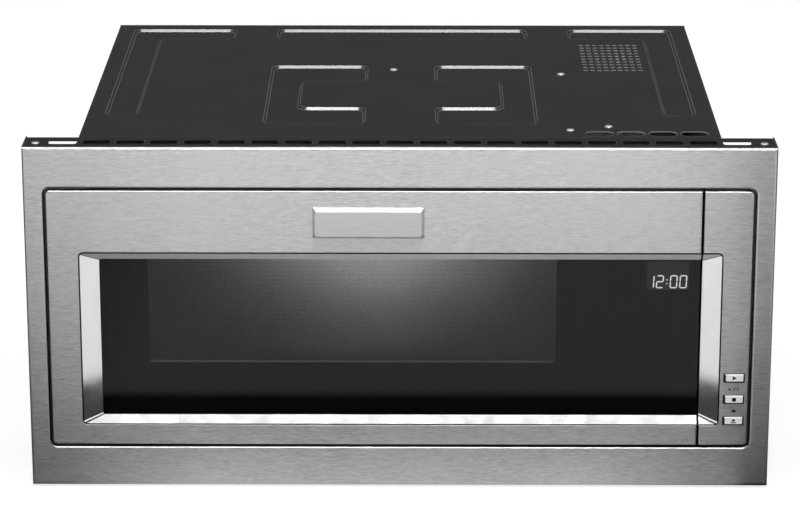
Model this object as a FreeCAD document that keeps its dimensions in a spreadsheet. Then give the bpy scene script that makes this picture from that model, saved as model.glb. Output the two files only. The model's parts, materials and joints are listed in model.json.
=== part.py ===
"""Built-in microwave oven with a slim steel trim: every piece as its own solid.

Units are millimetres. X points to the right of a person facing the door, Y points to the back and Z up.
The front face of the trim lies at front_y, and the trim and the feet stand on Z = 0.
"""
import FreeCAD
import Part
import Sketcher
import math
import os
import re

from FreeCAD import Placement, Rotation, Vector

SIZES = [
    ("front_y", -274, "front face of the trim, so that the whole object is centred on Y = 0"),
    # trim
    ("trim_width", 756, "overall width of the steel trim"),
    ("trim_height", 360, "overall height of the steel trim"),
    ("trim_depth", 44, "depth of the trim box"),
    ("trim_sheet", 1.2, "sheet thickness of the trim"),
    ("trim_edge", 3, "bend radius on the outer front edges"),
    ("trim_lip", 5, "short return on the top and bottom edges"),
    ("opening_side", 19.8, "steel border left and right of the opening"),
    ("opening_top", 42, "steel border above the opening"),
    ("opening_bottom", 42, "steel border below the opening"),
    ("opening_radius", 7, "corner radius of the opening"),
    ("opening_return", 10, "depth of the return round the opening"),
    ("opening_edge", 2, "rounding of the opening's front edge"),
    # slotted strips
    ("slot_count", 21, "slots in each strip"),
    ("strip_end", 22.05, "plain end of a strip"),
    ("slot_bridge", 5.6, "metal between two slots"),
    ("slot_width", 16.5, "width of a slot"),
    ("slot_corner", 4, "corner radius of a slot"),
    ("slot_start", 18.5, "front edge of the slots behind the trim's face"),
    ("strip_front_lip", 12, "front flange of a strip"),
    ("strip_back_lip", 4, "back flange of a strip"),
    ("strip_screw_inset", 12, "screw centre from the trim's side"),
    ("strip_screw_depth", 22, "screw centre behind the trim's face"),
    # screws
    ("screw_head", 3.6, "radius of a screw head"),
    ("screw_rise", 1.1, "height of a screw head"),
    ("screw_shank", 1.5, "radius of a screw shank"),
    ("screw_length", 6, "length of a screw shank"),
    ("hole_slack", 0.2, "radial room round a shank"),
    # rails
    ("rail_low", 22, "lower end of the bearing leg of a rail"),
    ("rail_high", 338, "upper end of the bearing leg of a rail"),
    ("rail_tail", 30, "leg of a rail along the cabinet side"),
    ("rail_ear", 20, "ear of a rail under a strip"),
    ("rail_hole", 2.6, "radius of a fixing hole"),
    ("rail_hole_inset", 12, "fixing hole from the trim's side"),
    ("rail_hole_span", 200, "height between two fixing holes"),
    # cabinet
    ("body_inset", 51.5, "cabinet side from the trim's side"),
    ("body_drop", 4, "cabinet top below the trim's top"),
    ("body_depth", 506, "cabinet depth behind the trim"),
    ("sheet", 1, "sheet thickness of the cabinet"),
    ("bend", 2, "bend radius of the cabinet's edges"),
    ("flange", 14, "height of the bent flanges"),
    ("back_screw_inset", 8, "screws of the rear sheet from its edges"),
    ("foot_height", 7, "height of a foot"),
    ("foot_radius", 10, "radius of a foot"),
    ("foot_inset", 45, "foot centre from the cabinet's edges"),
    # pressed grooves of the top
    ("groove_depth", 2.5, "depth of a pressed groove"),
    ("groove_slope", 45, "slope of a groove's wall"),
    ("groove_corner", 10, "corner radius of a groove"),
    ("groove_band", 34, "width of the L grooves' long legs"),
    ("groove_rear_band", 46, "width of the rear grooves"),
    ("groove_side", 19, "L grooves from the cabinet's side"),
    ("groove_front", 99, "front end of the L grooves behind the cabinet's front"),
    ("groove_back", 21, "rear grooves from the cabinet's back"),
    ("groove_end", 189.5, "inner end of the L grooves from the middle"),
    ("bar_half", 142.5, "half length of the straight groove"),
    ("hook_side", 184.5, "C grooves from the cabinet's side"),
    ("hook_band", 36, "width of a C groove's back"),
    ("hook_inner", 36.5, "open end of the C grooves from the middle"),
    ("hook_front", 64, "front edge of the C grooves behind the cabinet's front"),
    ("hook_length", 249, "length of the C grooves from front to rear"),
    ("hook_arm", 68, "width of a C groove's arms"),
    # openings of the top
    ("grid_columns", 9, "columns of vent holes"),
    ("grid_rows", 11, "rows of vent holes"),
    ("grid_side", 64.5, "last column of vent holes from the cabinet's right side"),
    ("grid_back", 84, "last row of vent holes from the cabinet's back"),
    ("grid_pitch_x", 7.5, "distance between columns"),
    ("grid_pitch_y", 12.9, "distance between rows"),
    ("grid_hole", 2.4, "radius of a vent hole"),
    ("port_count", 4, "long slots at the front right"),
    ("port_side", 12.5, "last long slot from the cabinet's right side"),
    ("port_front", 18, "front edge of the long slots behind the cabinet's front"),
    ("port_length", 28.2, "length of a long slot"),
    ("port_width", 18.3, "width of a long slot"),
    ("port_pitch", 32.2, "distance between long slots"),
    ("port_corner", 8, "corner radius of a long slot"),
    ("lid_screw_left", 8.4, "middle screw of the top left of the middle"),
    ("lid_screw_back", 295, "middle screw behind the cabinet's front"),
    ("lid_screw_side", 152.5, "right screws from the cabinet's right side"),
    ("lid_screw_rear", 275.5, "rear right screw behind the cabinet's front"),
    ("lid_screw_front", 41, "front right screw behind the cabinet's front"),
    ("rivet_side", 112.5, "small screw from the cabinet's right side"),
    ("rivet_front", 55, "small screw behind the cabinet's front"),
    # vents of the hidden faces
    ("louvre_count", 18, "slots of the exhaust louvre"),
    ("louvre_end", 18, "plain end of the exhaust louvre"),
    ("louvre_bridge", 8, "metal between two exhaust slots"),
    ("louvre_width", 12, "height of an exhaust slot"),
    ("breather_count", 8, "slots in each group of vent slots"),
    ("breather_pitch", 12, "distance between vent slots"),
    ("breather_length", 84, "length of a vent slot"),
    ("breather_width", 5, "width of a vent slot"),
    ("back_vent_drop", 2.5, "middle of the back's vent slots below the fan's axis"),
    ("side_vent_back", 170, "first slot of the right side from the cabinet's back"),
    ("side_vent_low", 60, "lower end of the right side's slots"),
    ("base_vent_front", 85, "first slot of the bottom behind the cabinet's front"),
    # oven liner
    ("cavity_inset", 23, "liner from the cabinet's left side"),
    ("bay_width", 133, "machine bay right of the liner"),
    ("cavity_floor", 100, "upper face of the oven floor"),
    ("cavity_roof", 94, "oven ceiling below the cabinet's top"),
    ("rear_room", 104, "room behind the liner"),
    ("cavity_radius", 8, "corner radius of the oven's ceiling"),
    ("shaft_hole", 9, "radius of the hole in the oven floor"),
    # door and control strip
    ("door_gap", 2.8, "gap round the door in the opening"),
    ("seal_gap", 1, "gap between the door and the front plate"),
    ("panel_width", 49.5, "width of the control strip"),
    ("seam_gap", 2, "gap between the door and the control strip"),
    ("skin", 1, "sheet thickness of the steel skins"),
    ("skin_return", 8, "depth of the skins' edge returns"),
    ("skin_corner", 4, "corner radius of the skins"),
    ("skin_edge", 1.5, "rounding of the skins' outer edges"),
    ("bezel_border", 31, "steel left of the ramp"),
    ("bezel_drop", 64.4, "steel above the ramp"),
    ("bezel_sill", 21.2, "steel below the ramp"),
    ("bezel_run", 20.5, "width of the side ramps"),
    ("bezel_slope", 9, "height of the upper and lower ramps"),
    ("bezel_depth", 7, "depth of the ramp"),
    ("bezel_corner", 5, "outer corner radius of the ramp"),
    ("bezel_lip", 1.2, "flat lip round the ramp"),
    ("bezel_fit", 0.3, "gap between the ramp and the skin"),
    ("fit", 0.2, "gap between pieces that slide into each other"),
    ("glass_thick", 4, "thickness of the glass"),
    ("glass_lap", 3.5, "glass hidden behind the ramp"),
    ("mask_thick", 0.3, "thickness of the printed mask"),
    ("window_left", 47.6, "left edge of the window from the oven's left side"),
    ("window_right", 33.4, "right edge of the window from the oven's right side"),
    ("window_sill", 85.5, "lower edge of the window above the door's lower edge"),
    ("window_drop", 2, "upper edge of the window below the glass's upper edge"),
    ("window_corner", 3, "corner radius of the window"),
    ("display_width", 43, "width of the display"),
    ("display_height", 30, "height of the display"),
    ("display_right", 11, "display from the door's right edge"),
    ("display_drop", 3, "display below the upper ramp"),
    ("display_corner", 2, "corner radius of the display's window"),
    ("display_lap", 1.5, "display module behind the mask"),
    ("touch_gap", 3, "touch board from the choke"),
    ("touch_inset", 2, "touch board from the shell's right side"),
    ("touch_lap", 4, "touch board behind the ramps"),
    ("board_sheet", 1.6, "thickness of a circuit board"),
    ("shell_ledge", 2.4, "thickness of the ledge behind the glass"),
    ("shell_post", 6, "right post of the door shell"),
    ("shell_side", 1.5, "right wall of the door shell beside the touch board"),
    ("board_room", 1, "room round the touch board"),
    ("choke_lap", 25, "lap of the door choke round the oven's mouth"),
    ("choke_sheet", 0.8, "sheet thickness of the choke"),
    ("choke_border", 4, "choke's window outside the mask's window"),
    ("choke_sill", 1, "choke's edge seen above the window's lower edge"),
    ("screen_lap", 12, "screen outside the mask's window"),
    ("screen_sheet", 0.5, "thickness of the screen"),
    ("panel_inner", 1.6, "thickness of the door's inner panel"),
    ("cover_hinge", 8, "inner panel from the hinge axis"),
    ("cover_inset", 3, "inner panel from the door's upper and lower edges"),
    ("cover_side", 2.5, "inner panel from the door's right edge"),
    ("cover_corner", 6, "corner radius of the inner panel"),
    ("hinge_inset", 14, "hinge axis from the door's left edge"),
    ("hinge_depth", 8.5, "hinge axis behind the trim's face"),
    ("hinge_pin", 3, "radius of a hinge pin"),
    ("hinge_reach", 11, "hinge pin inside the door"),
    ("hinge_play", 0.08, "radial play of a hinge pin"),
    ("bush_wall", 2, "wall of a hinge bush"),
    ("bush_collar", 1, "collar of a hinge bush"),
    ("bush_room", 0.4, "gap round a hinge bush's collar"),
    ("bracket_sheet", 1.5, "thickness of a hinge bracket"),
    ("bracket_rise", 26, "flange of a hinge bracket on the front plate"),
    ("bracket_left", 8, "hinge bracket left of the hinge axis"),
    ("bracket_right", 30, "hinge bracket right of the hinge axis"),
    ("bracket_front", 6, "hinge bracket in front of the hinge axis"),
    ("bracket_side", 2, "hinge bracket's flange from the cabinet's side"),
    ("badge_width", 113, "width of the badge plate"),
    ("badge_height", 32, "height of the badge plate"),
    ("badge_rise", 4.5, "thickness of the badge plate"),
    ("badge_bevel", 3, "bevel of the badge plate"),
    ("badge_corner", 2, "corner radius of the badge plate"),
    ("badge_left", 267.5, "badge plate from the door's left edge"),
    ("badge_drop", 17.4, "badge plate below the door's upper edge"),
    # buttons
    ("button_width", 19.3, "width of a button"),
    ("button_height", 8.2, "height of a button"),
    ("button_right", 14.2, "button centre from the strip's right edge"),
    ("button_low", 26.8, "lowest button above the strip's lower edge"),
    ("button_pitch", 23.1, "distance between buttons"),
    ("button_proud", 1, "button in front of the steel"),
    ("button_slack", 0.6, "gap round a button"),
    ("button_travel", 1.2, "travel of a button"),
    ("button_flange", 1.6, "thickness of a button's retaining flange"),
    ("button_lip", 1.2, "overhang of a button's retaining flange"),
    ("button_edge", 0.8, "bevel of a button's face"),
    ("button_corner", 1.2, "corner radius of a button"),
    ("key_gap", 4, "key board behind a pressed button"),
    ("key_play", 0.3, "gap between a switch and a pressed button"),
    ("key_half", 3, "half width of a switch"),
    ("key_inset", 2, "key board from the shell's sides"),
    ("key_rise", 20, "key board above the upper button"),
    ("strip_wall", 10, "depth of the control strip's front wall"),
    ("strip_side", 1.2, "side walls of the control strip's shell"),
    # turntable
    ("roller_radius", 7, "radius of a roller"),
    ("roller_width", 7, "width of a roller"),
    ("roller_circle", 112, "roller centre from the turntable's axis"),
    ("roller_lift", 0.25, "gap above and below a roller"),
    ("axle_radius", 2, "radius of a roller's axle"),
    ("axle_play", 0.1, "radial play of a roller"),
    ("cap_gap", 0.4, "gap between a roller and its cap"),
    ("cap_thick", 1.6, "thickness of a roller's cap"),
    ("ring_outer", 105, "outer radius of the roller ring"),
    ("ring_wall", 6, "width of the roller ring"),
    ("ring_height", 5, "height of the roller ring"),
    ("tray_radius", 152, "radius of the glass tray"),
    ("tray_thick", 4.5, "thickness of the glass tray"),
    ("tray_rim", 11, "height of the tray's rim"),
    ("tray_slope", 14, "width of the tray's sloping edge"),
    ("rim_edge", 3, "width of the rim's upper face"),
    ("rim_drop", 2.5, "upright edge of the rim"),
    ("shaft_radius", 4, "radius of the drive shaft"),
    ("hub_radius", 9, "radius of the drive hub"),
    ("hub_gap", 1, "gap below the drive hub"),
    ("motor_radius", 26, "radius of the turntable motor"),
    ("motor_height", 20, "height of the turntable motor"),
    # latch
    ("latch_right", 36, "latch from the door's right edge"),
    ("latch_plate", 4, "thickness of a latch hook"),
    ("latch_height", 16, "height of a latch hook"),
    ("latch_low", 112, "lower latch hook above the floor"),
    ("latch_span", 110, "distance between the hooks"),
    ("latch_reach", 23, "latch hook behind the door"),
    ("latch_notch", 8, "width of the notch in a hook"),
    ("latch_bite", 5, "depth of the notch in a hook"),
    ("latch_travel", 4, "travel of the latch bar"),
    ("latch_clear", 0.5, "gap below a hook when the bar is down"),
    ("latch_room", 2, "room round a hook in the front plate"),
    ("latch_slit", 0.3, "gap round a hook in the inner panel"),
    ("hook_sheet", 2, "thickness of the hooks' plate"),
    ("latch_nose", 4, "length of a hook's nose"),
    ("latch_chamfer", 2, "slope under a hook's nose"),
    ("latch_foot", 12, "half width of the hooks' plate"),
    ("latch_margin", 15, "hooks' plate above and below the hooks"),
    ("tooth_width", 6, "width of a tooth of the latch bar"),
    ("tooth_play", 1, "gap between a tooth and the sides of its notch"),
    ("tooth_arm", 4, "height of the arm under a tooth"),
    ("bar_width", 8, "width of the latch bar"),
    ("bar_depth", 9.7, "depth of the latch bar"),
    ("bar_room", 3, "gap between the hooks and the latch bar"),
    ("plunger_radius", 4, "radius of the solenoid's plunger"),
    ("plunger_play", 0.3, "radial play of the plunger"),
    ("case_half", 12, "half width inside the latch housing"),
    ("case_wall", 2, "wall of the latch housing"),
    ("case_reach", 30, "latch housing above and below the hooks"),
    ("case_travel", 6, "room below and above the latch bar"),
    ("coil_height", 34, "height of the solenoid"),
    ("coil_rear", 4, "solenoid behind the latch housing"),
    ("switch_width", 10, "width of a door switch"),
    ("switch_height", 18, "height of a door switch"),
    ("switch_start", 34, "lowest door switch above the housing's lower end"),
    ("switch_pitch", 46, "distance between door switches"),
    # machine bay
    ("guide_depth", 38, "width of the waveguide"),
    ("guide_length", 120, "length of the waveguide"),
    ("guide_height", 90, "height of the waveguide"),
    ("guide_y", 150, "front of the waveguide behind the trim"),
    ("guide_drop", 27, "upper face of the waveguide below the oven's ceiling"),
    ("guide_lip", 10, "border round the waveguide's port"),
    ("mica_sheet", 0.8, "thickness of the waveguide's cover"),
    ("yoke_width", 80, "width of the magnetron"),
    ("yoke_length", 96, "length of the magnetron"),
    ("yoke_height", 78, "height of the magnetron"),
    ("yoke_sheet", 2, "sheet thickness of the magnetron's yoke"),
    ("anode_radius", 20, "radius of the magnetron's anode"),
    ("antenna_radius", 10, "radius of the magnetron's antenna"),
    ("antenna_gap", 1, "gap round the antenna"),
    ("fin_sheet", 1, "thickness of a cooling fin"),
    ("fin_inset", 6, "fins from the yoke's ends"),
    ("fin_count", 7, "cooling fins of the magnetron"),
    ("core_width", 96, "width of the transformer"),
    ("core_length", 76, "length of the transformer"),
    ("core_height", 80, "height of the transformer"),
    ("core_limb", 16, "outer limb of the transformer"),
    ("coil_bulge", 10, "winding in front of and behind the core"),
    ("core_y", 310, "front of the transformer behind the trim"),
    ("can_width", 54, "width of the capacitor"),
    ("can_length", 34, "length of the capacitor"),
    ("can_height", 88, "height of the capacitor"),
    ("can_y", 200, "front of the capacitor behind the trim"),
    ("post_radius", 4, "radius of the capacitor's posts"),
    ("post_height", 8, "height of the capacitor's posts"),
    ("fan_radius", 50, "radius of the fan"),
    ("fan_tip", 2.5, "gap round the fan"),
    ("fan_wall", 4, "wall of the fan shroud"),
    ("fan_depth", 34, "depth of the fan shroud"),
    ("fan_z", 205, "fan axis above the floor"),
    ("fan_hub", 14, "radius of the fan hub"),
    ("blade_count", 7, "blades of the fan"),
    ("blade_pitch", 34, "pitch of a fan blade"),
    ("blade_sheet", 1.6, "thickness of a fan blade"),
    ("wheel_gap", 2, "fan wheel behind the spider"),
    ("wheel_room", 8, "shroud's room in front of and behind the fan wheel"),
    ("blade_room", 12, "shroud's room in front of and behind the blades"),
    ("spider_arm", 8, "width of the arms that carry the fan motor"),
    ("fan_motor", 24, "radius of the fan motor"),
    ("fan_motor_depth", 30, "length of the fan motor"),
    ("gland_radius", 7, "radius of the cord gland's bore"),
    ("gland_wall", 3, "wall of the cord gland"),
    ("gland_side", 74, "cord gland from the cabinet's right side"),
    ("gland_drop", 38, "cord gland below the cabinet's top"),
    ("press_gap", 0.02, "gap of a press fit"),
    ("lamp_y", 70, "oven lamp behind the cabinet's front"),
    ("lamp_drop", 32, "lower edge of the lamp's base below the oven's ceiling"),
    ("lamp_depth", 26, "depth of the lamp's base"),
    ("lamp_length", 30, "length of the lamp's base"),
    ("lamp_height", 24, "height of the lamp's base"),
    ("bulb_radius", 9, "radius of the lamp's bulb"),
    ("bulb_length", 34, "length of the lamp's bulb"),
    ("control_y", 110, "control board behind the cabinet's front"),
    ("control_width", 150, "width of the control board"),
    ("control_length", 110, "length of the control board"),
    ("control_lift", 8, "control board above the oven"),
    ("control_post", 3, "radius of the control board's posts"),
    ("control_inset", 8, "posts from the control board's edges"),
]

doc = FreeCAD.newDocument("built_in_microwave")
dims = doc.addObject("Spreadsheet::Sheet", "dims")
for row, (alias, size, note) in enumerate(SIZES, start=1):
    dims.set("A%d" % row, alias)
    dims.set("B%d" % row, repr(size))
    dims.set("C%d" % row, note)
    dims.setAlias("B%d" % row, alias)
doc.recompute()

NAMES = re.compile(r"\b(" + "|".join(entry[0] for entry in SIZES) + r")\b")
PLANES = {"XY": ("XY_Plane", 1), "XZ": ("XZ_Plane", -1), "YZ": ("YZ_Plane", 1)}
TURNS = {"x": Rotation(Vector(0, 1, 0), 90), "y": Rotation(Vector(1, 0, 0), -90), "z": Rotation()}
ORIGIN = -1
START, END = 1, 2
pieces = []
plane_of = {}


def bind(item, prop, text):
    """Tie a property to the sheet's cells."""
    item.setExpression(prop, NAMES.sub(r"dims.\1", text))


def value(text):
    """Number that an expression of cell names stands for."""
    return float(dims.evalExpression(text))


def near(first, second):
    return abs(first - second) < 1e-4


def piece(label, item):
    """Register a finished sub-part under its label."""
    item.Label = label
    pieces.append(item)
    return item


# Sketches and solid features

def new_body(name):
    return doc.addObject("PartDesign::Body", name + "_body")


def sketch(body, plane, offset, loops):
    """Fully constrained sketch on an origin plane of its body, at an offset along that plane's axis."""
    item = body.newObject("Sketcher::SketchObject", body.Name + "_sketch")
    role, sign = PLANES[plane]
    support = [feature for feature in body.Origin.OriginFeatures if feature.Role == role][0]
    item.AttachmentSupport = [(support, "")]
    item.MapMode = "FlatFace"
    bind(item, "AttachmentOffset.Base.z", "%d * (%s)" % (sign, offset))
    plane_of[item.Name] = sign
    for loop in loops:
        if loop[0] == "circle":
            draw_circle(item, *loop[1:])
        else:
            draw_outline(item, loop)
    return item


def constrain(item, rules):
    """Add constraints and tie those that carry an expression to the sheet."""
    first = item.ConstraintCount
    item.addConstraint([rule[0] for rule in rules])
    for index, rule in enumerate(rules):
        if rule[1]:
            bind(item, "Constraints[%d]" % (first + index), rule[1])


def fix_point(geometry, end, u, v):
    """Two rules that hold one end of a line at (u, v)."""
    return [
        (Sketcher.Constraint("DistanceX", ORIGIN, 1, geometry, end, value(u)), u),
        (Sketcher.Constraint("DistanceY", ORIGIN, 1, geometry, end, value(v)), v),
    ]


def draw_circle(item, u, v, radius):
    centre = Vector(value(u), value(v), 0)
    index = item.addGeometry(Part.Circle(centre, Vector(0, 0, 1), value(radius)))
    rules = fix_point(index, 3, u, v)
    rules.append((Sketcher.Constraint("Radius", index, value(radius)), radius))
    constrain(item, rules)


def step(number):
    return 0 if near(number, 0) else math.copysign(1, number)


def draw_outline(item, corners):
    """Closed outline; a corner given as (u, v, radius) is rounded between two lines along the axes."""
    spots = [(value(corner[0]), value(corner[1])) for corner in corners]
    total = len(corners)
    enter, leave, arcs = [], [], {}
    for number, corner in enumerate(corners):
        u, v = corner[0], corner[1]
        if len(corner) == 2:
            enter.append((u, v))
            leave.append((u, v))
            continue
        radius = corner[2]
        here, before, after = spots[number], spots[number - 1], spots[(number + 1) % total]
        back = (step(before[0] - here[0]), step(before[1] - here[1]))
        ahead = (step(after[0] - here[0]), step(after[1] - here[1]))
        enter.append(tuple("%s + %d * (%s)" % (text, way, radius) for text, way in zip((u, v), back)))
        leave.append(tuple("%s + %d * (%s)" % (text, way, radius) for text, way in zip((u, v), ahead)))
        arcs[number] = (back, ahead, radius)
    lines = []
    for number in range(total):
        start = Vector(value(leave[number][0]), value(leave[number][1]), 0)
        after = enter[(number + 1) % total]
        stop = Vector(value(after[0]), value(after[1]), 0)
        lines.append(item.addGeometry(Part.LineSegment(start, stop)))
    rules = []
    for number in range(total):
        line, previous = lines[number], lines[number - 1]
        rules += fix_point(line, START, *leave[number])
        if number not in arcs:
            rules.append((Sketcher.Constraint("Coincident", previous, END, line, START), None))
            continue
        rules += fix_point(previous, END, *enter[number])
        back, ahead, radius = arcs[number]
        reach = value(radius)
        centre = Vector(spots[number][0] + reach * (back[0] + ahead[0]),
                        spots[number][1] + reach * (back[1] + ahead[1]), 0)
        first, last = math.atan2(-ahead[1], -ahead[0]), math.atan2(-back[1], -back[0])
        left_turn = -back[0] * ahead[1] + back[1] * ahead[0] > 0
        if not left_turn:
            first, last = last, first
        circle = Part.Circle(centre, Vector(0, 0, 1), reach)
        arc = item.addGeometry(Part.ArcOfCircle(circle, first, last))
        entry, leaving = (START, END) if left_turn else (END, START)
        rules.append((Sketcher.Constraint("Coincident", previous, END, arc, entry), None))
        rules.append((Sketcher.Constraint("Coincident", arc, leaving, line, START), None))
        rules.append((Sketcher.Constraint("Radius", arc, reach), radius))
    constrain(item, rules)


def rectangle(left, low, right, high, radius=None):
    corners = [(left, low), (right, low), (right, high), (left, high)]
    if radius:
        return [corner + (radius,) for corner in corners]
    return corners


def circle(u, v, radius):
    return ("circle", u, v, radius)


def volume(body):
    doc.recompute()
    return body.Shape.Volume


def pad(body, plane, offset, loops, length, way=1, slope=None):
    """Add material along the plane's axis, in its positive (way 1) or negative (way -1) direction."""
    profile = sketch(body, plane, offset, loops)
    item = body.newObject("PartDesign::Pad", body.Name + "_pad")
    item.Profile = profile
    item.Reversed = way != plane_of[profile.Name]
    bind(item, "Length", length)
    if slope:
        bind(item, "TaperAngle", slope)
    doc.recompute()
    return item


def pocket(body, plane, offset, loops, length, way=1, slope=None):
    """Take material away along the plane's axis; the cut has to change the volume."""
    before = volume(body)
    profile = sketch(body, plane, offset, loops)
    item = body.newObject("PartDesign::Pocket", body.Name + "_pocket")
    item.Profile = profile
    item.Reversed = way == plane_of[profile.Name]
    bind(item, "Length", length)
    if slope:
        bind(item, "TaperAngle", slope)
    if near(volume(body), before):
        raise RuntimeError("a cut missed its body: " + body.Name)
    return item


def repeat(body, feature, axis, pitch, count, second=None):
    """Repeat a feature along X, Y or Z, and along a second axis where one is given."""
    axes = {entry.Role[0].lower(): entry for entry in body.Origin.OriginFeatures if "Axis" in entry.Role}
    item = body.newObject("PartDesign::LinearPattern", body.Name + "_pattern")
    item.Originals = [feature]
    item.Direction = (axes[axis], [""])
    item.Mode = "Spacing"
    bind(item, "Offset", pitch)
    bind(item, "Occurrences", count)
    if second:
        item.Direction2 = (axes[second[0]], [""])
        item.Mode2 = "Spacing"
        bind(item, "Offset2", second[1])
        bind(item, "Occurrences2", second[2])
    body.Tip = item
    doc.recompute()
    return item


def edges_where(body, test):
    doc.recompute()
    return ["Edge%d" % (number + 1) for number, edge in enumerate(body.Shape.Edges) if test(edge.BoundBox)]


def fillet(body, edges, radius):
    item = body.newObject("PartDesign::Fillet", body.Name + "_fillet")
    item.Base = (body.Tip if body.Tip != item else item.BaseFeature, edges)
    bind(item, "Radius", radius)
    doc.recompute()
    return item


def loft(body, kind, first, second):
    """Straight loft between two sketches."""
    item = body.newObject("PartDesign::" + kind, body.Name + "_loft")
    item.Profile = first
    item.Sections = [second]
    item.Ruled = True
    doc.recompute()
    return item


def revolve(body, corners):
    """Turn an outline in the XZ plane round the body's Z axis."""
    profile = sketch(body, "XZ", "0", [corners])
    item = body.newObject("PartDesign::Revolution", body.Name + "_revolution")
    item.Profile = profile
    axis = [entry for entry in body.Origin.OriginFeatures if entry.Role == "Z_Axis"][0]
    item.ReferenceAxis = (axis, [""])
    item.Angle = 360
    doc.recompute()
    return item


# Primitives and booleans

def place(item, x, y, z):
    for axis, text in zip("xyz", (x, y, z)):
        bind(item, "Placement.Base." + axis, text)
    return item


def block(name, x, y, z):
    """Box between pairs of limits along X, Y and Z."""
    item = doc.addObject("Part::Box", name)
    for prop, (low, high) in zip(("Length", "Width", "Height"), (x, y, z)):
        bind(item, prop, "(%s) - (%s)" % (high, low))
    return place(item, x[0], y[0], z[0])


def rod(name, axis, radius, length, x, y, z):
    """Cylinder that starts at (x, y, z) and runs along the positive axis."""
    item = doc.addObject("Part::Cylinder", name)
    item.Placement = Placement(Vector(), TURNS[axis])
    bind(item, "Radius", radius)
    bind(item, "Height", length)
    return place(item, x, y, z)


def fuse(name, *parts):
    item = doc.addObject("Part::MultiFuse", name)
    item.Shapes = list(parts)
    return item


def cut(name, base, *tools):
    item = doc.addObject("Part::Cut", name)
    item.Base = base
    item.Tool = tools[0] if len(tools) == 1 else fuse(name + "_tools", *tools)
    return item


def group(name, *parts):
    item = doc.addObject("Part::Compound", name)
    item.Links = list(parts)
    return item


def mirror_x(name, source):
    item = doc.addObject("Part::Mirroring", name)
    item.Source = source
    item.Normal = Vector(1, 0, 0)
    return item


def screw(name, way, x, y, z):
    """Screw whose head stands on (x, y, z) and points along way."""
    head = doc.addObject("Part::Cone", name + "_head")
    bind(head, "Radius1", "screw_head")
    bind(head, "Radius2", "screw_head * 0.7")
    bind(head, "Height", "screw_rise")
    shank = doc.addObject("Part::Cylinder", name + "_shank")
    bind(shank, "Radius", "screw_shank")
    bind(shank, "Height", "screw_length")
    turn = Rotation(Vector(0, 0, 1), Vector(*way))
    head.Placement = Placement(Vector(), turn)
    shank.Placement = Placement(Vector(), turn)
    place(head, x, y, z)
    ends = ["%s - %d * screw_length" % (text, part) for text, part in zip((x, y, z), way)]
    place(shank, *ends)
    return fuse(name, head, shank)


# Derived positions
FRONT = "front_y"
BACK = "(front_y + trim_depth)"
HALF = "trim_width / 2"
OPEN_X = "(trim_width / 2 - opening_side)"
OPEN_TOP = "(trim_height - opening_top)"
STRIP_TOP = "(trim_height - trim_sheet)"
BODY_X = "(trim_width / 2 - body_inset)"
SIDE_X = "(trim_width / 2 - body_inset - sheet)"
BODY_TOP = "(trim_height - body_drop)"
BODY_BACK = "(front_y + trim_depth + body_depth)"
BASE = "foot_height"
PLATE_FRONT = "(front_y + trim_depth - sheet)"

CAVITY_LEFT = "(body_inset - trim_width / 2 + cavity_inset + sheet)"
CAVITY_RIGHT = "(trim_width / 2 - body_inset - bay_width - sheet)"
CAVITY_MID = "((cavity_inset - bay_width) / 2)"
CAVITY_TOP = "(trim_height - body_drop - cavity_roof)"
CAVITY_BACK = "(front_y + trim_depth + body_depth - rear_room)"
TABLE_Y = "(front_y + trim_depth + (body_depth - rear_room) / 2)"
BAY_LEFT = "(trim_width / 2 - body_inset - bay_width)"
BAY_MID = "(trim_width / 2 - body_inset - bay_width / 2)"

DOOR_LEFT = "(opening_side - trim_width / 2 + door_gap)"
DOOR_LOW = "(opening_bottom + door_gap)"
DOOR_TOP = "(trim_height - opening_top - door_gap)"
PANEL_RIGHT = "(trim_width / 2 - opening_side - door_gap)"
PANEL_LEFT = "(trim_width / 2 - opening_side - door_gap - panel_width)"
DOOR_RIGHT = "(trim_width / 2 - opening_side - door_gap - panel_width - seam_gap)"
DOOR_DEPTH = "(trim_depth - sheet - seal_gap)"
DOOR_BACK = "(front_y + trim_depth - sheet - seal_gap)"

RAMP_LEFT = "(opening_side - trim_width / 2 + door_gap + bezel_border)"
RAMP_RIGHT = "(trim_width / 2 - opening_side - door_gap - panel_width + bezel_run)"
RAMP_LOW = "(opening_bottom + door_gap + bezel_sill)"
RAMP_TOP = "(trim_height - opening_top - door_gap - bezel_drop)"
GLASS_Y = "(front_y + bezel_depth)"
GLASS_BACK = "(front_y + bezel_depth + glass_thick)"
MASK_BACK = "(front_y + bezel_depth + glass_thick + mask_thick)"
LEDGE_BACK = "(front_y + bezel_depth + glass_thick + shell_ledge)"
INNER_Y = "(front_y + trim_depth - sheet - seal_gap - panel_inner)"
WINDOW_LEFT = CAVITY_LEFT + " + window_left"
WINDOW_RIGHT = CAVITY_RIGHT + " - window_right"
WINDOW_LOW = DOOR_LOW + " + window_sill"
GLASS_TOP = RAMP_TOP + " - bezel_slope + glass_lap"
WINDOW_TOP = GLASS_TOP + " - window_drop"
CHOKE_LEFT = CAVITY_LEFT + " - choke_lap"
CHOKE_RIGHT = CAVITY_RIGHT + " + choke_lap"
CHOKE_LOW = "(cavity_floor - choke_lap)"
CHOKE_TOP = "(trim_height - body_drop - cavity_roof + choke_lap)"
HINGE_X = "(opening_side - trim_width / 2 + door_gap + hinge_inset)"
HINGE_Y = "(front_y + hinge_depth)"
LATCH_X = DOOR_RIGHT + " - latch_right"
LATCH_BACK = DOOR_BACK + " + latch_reach"
CASE_BACK = LATCH_BACK + " + bar_room + bar_depth + fit + case_wall"
BAR_Y = LATCH_BACK + " + bar_room + bar_depth / 2"
BOARD_LEFT = CHOKE_RIGHT + " + touch_gap"
SHELL_RIGHT = DOOR_RIGHT + " - skin - fit"
ROLLER_Z = "(cavity_floor + roller_lift + roller_radius)"
TRAY_Z = "(cavity_floor + 2 * roller_lift + 2 * roller_radius)"
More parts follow.
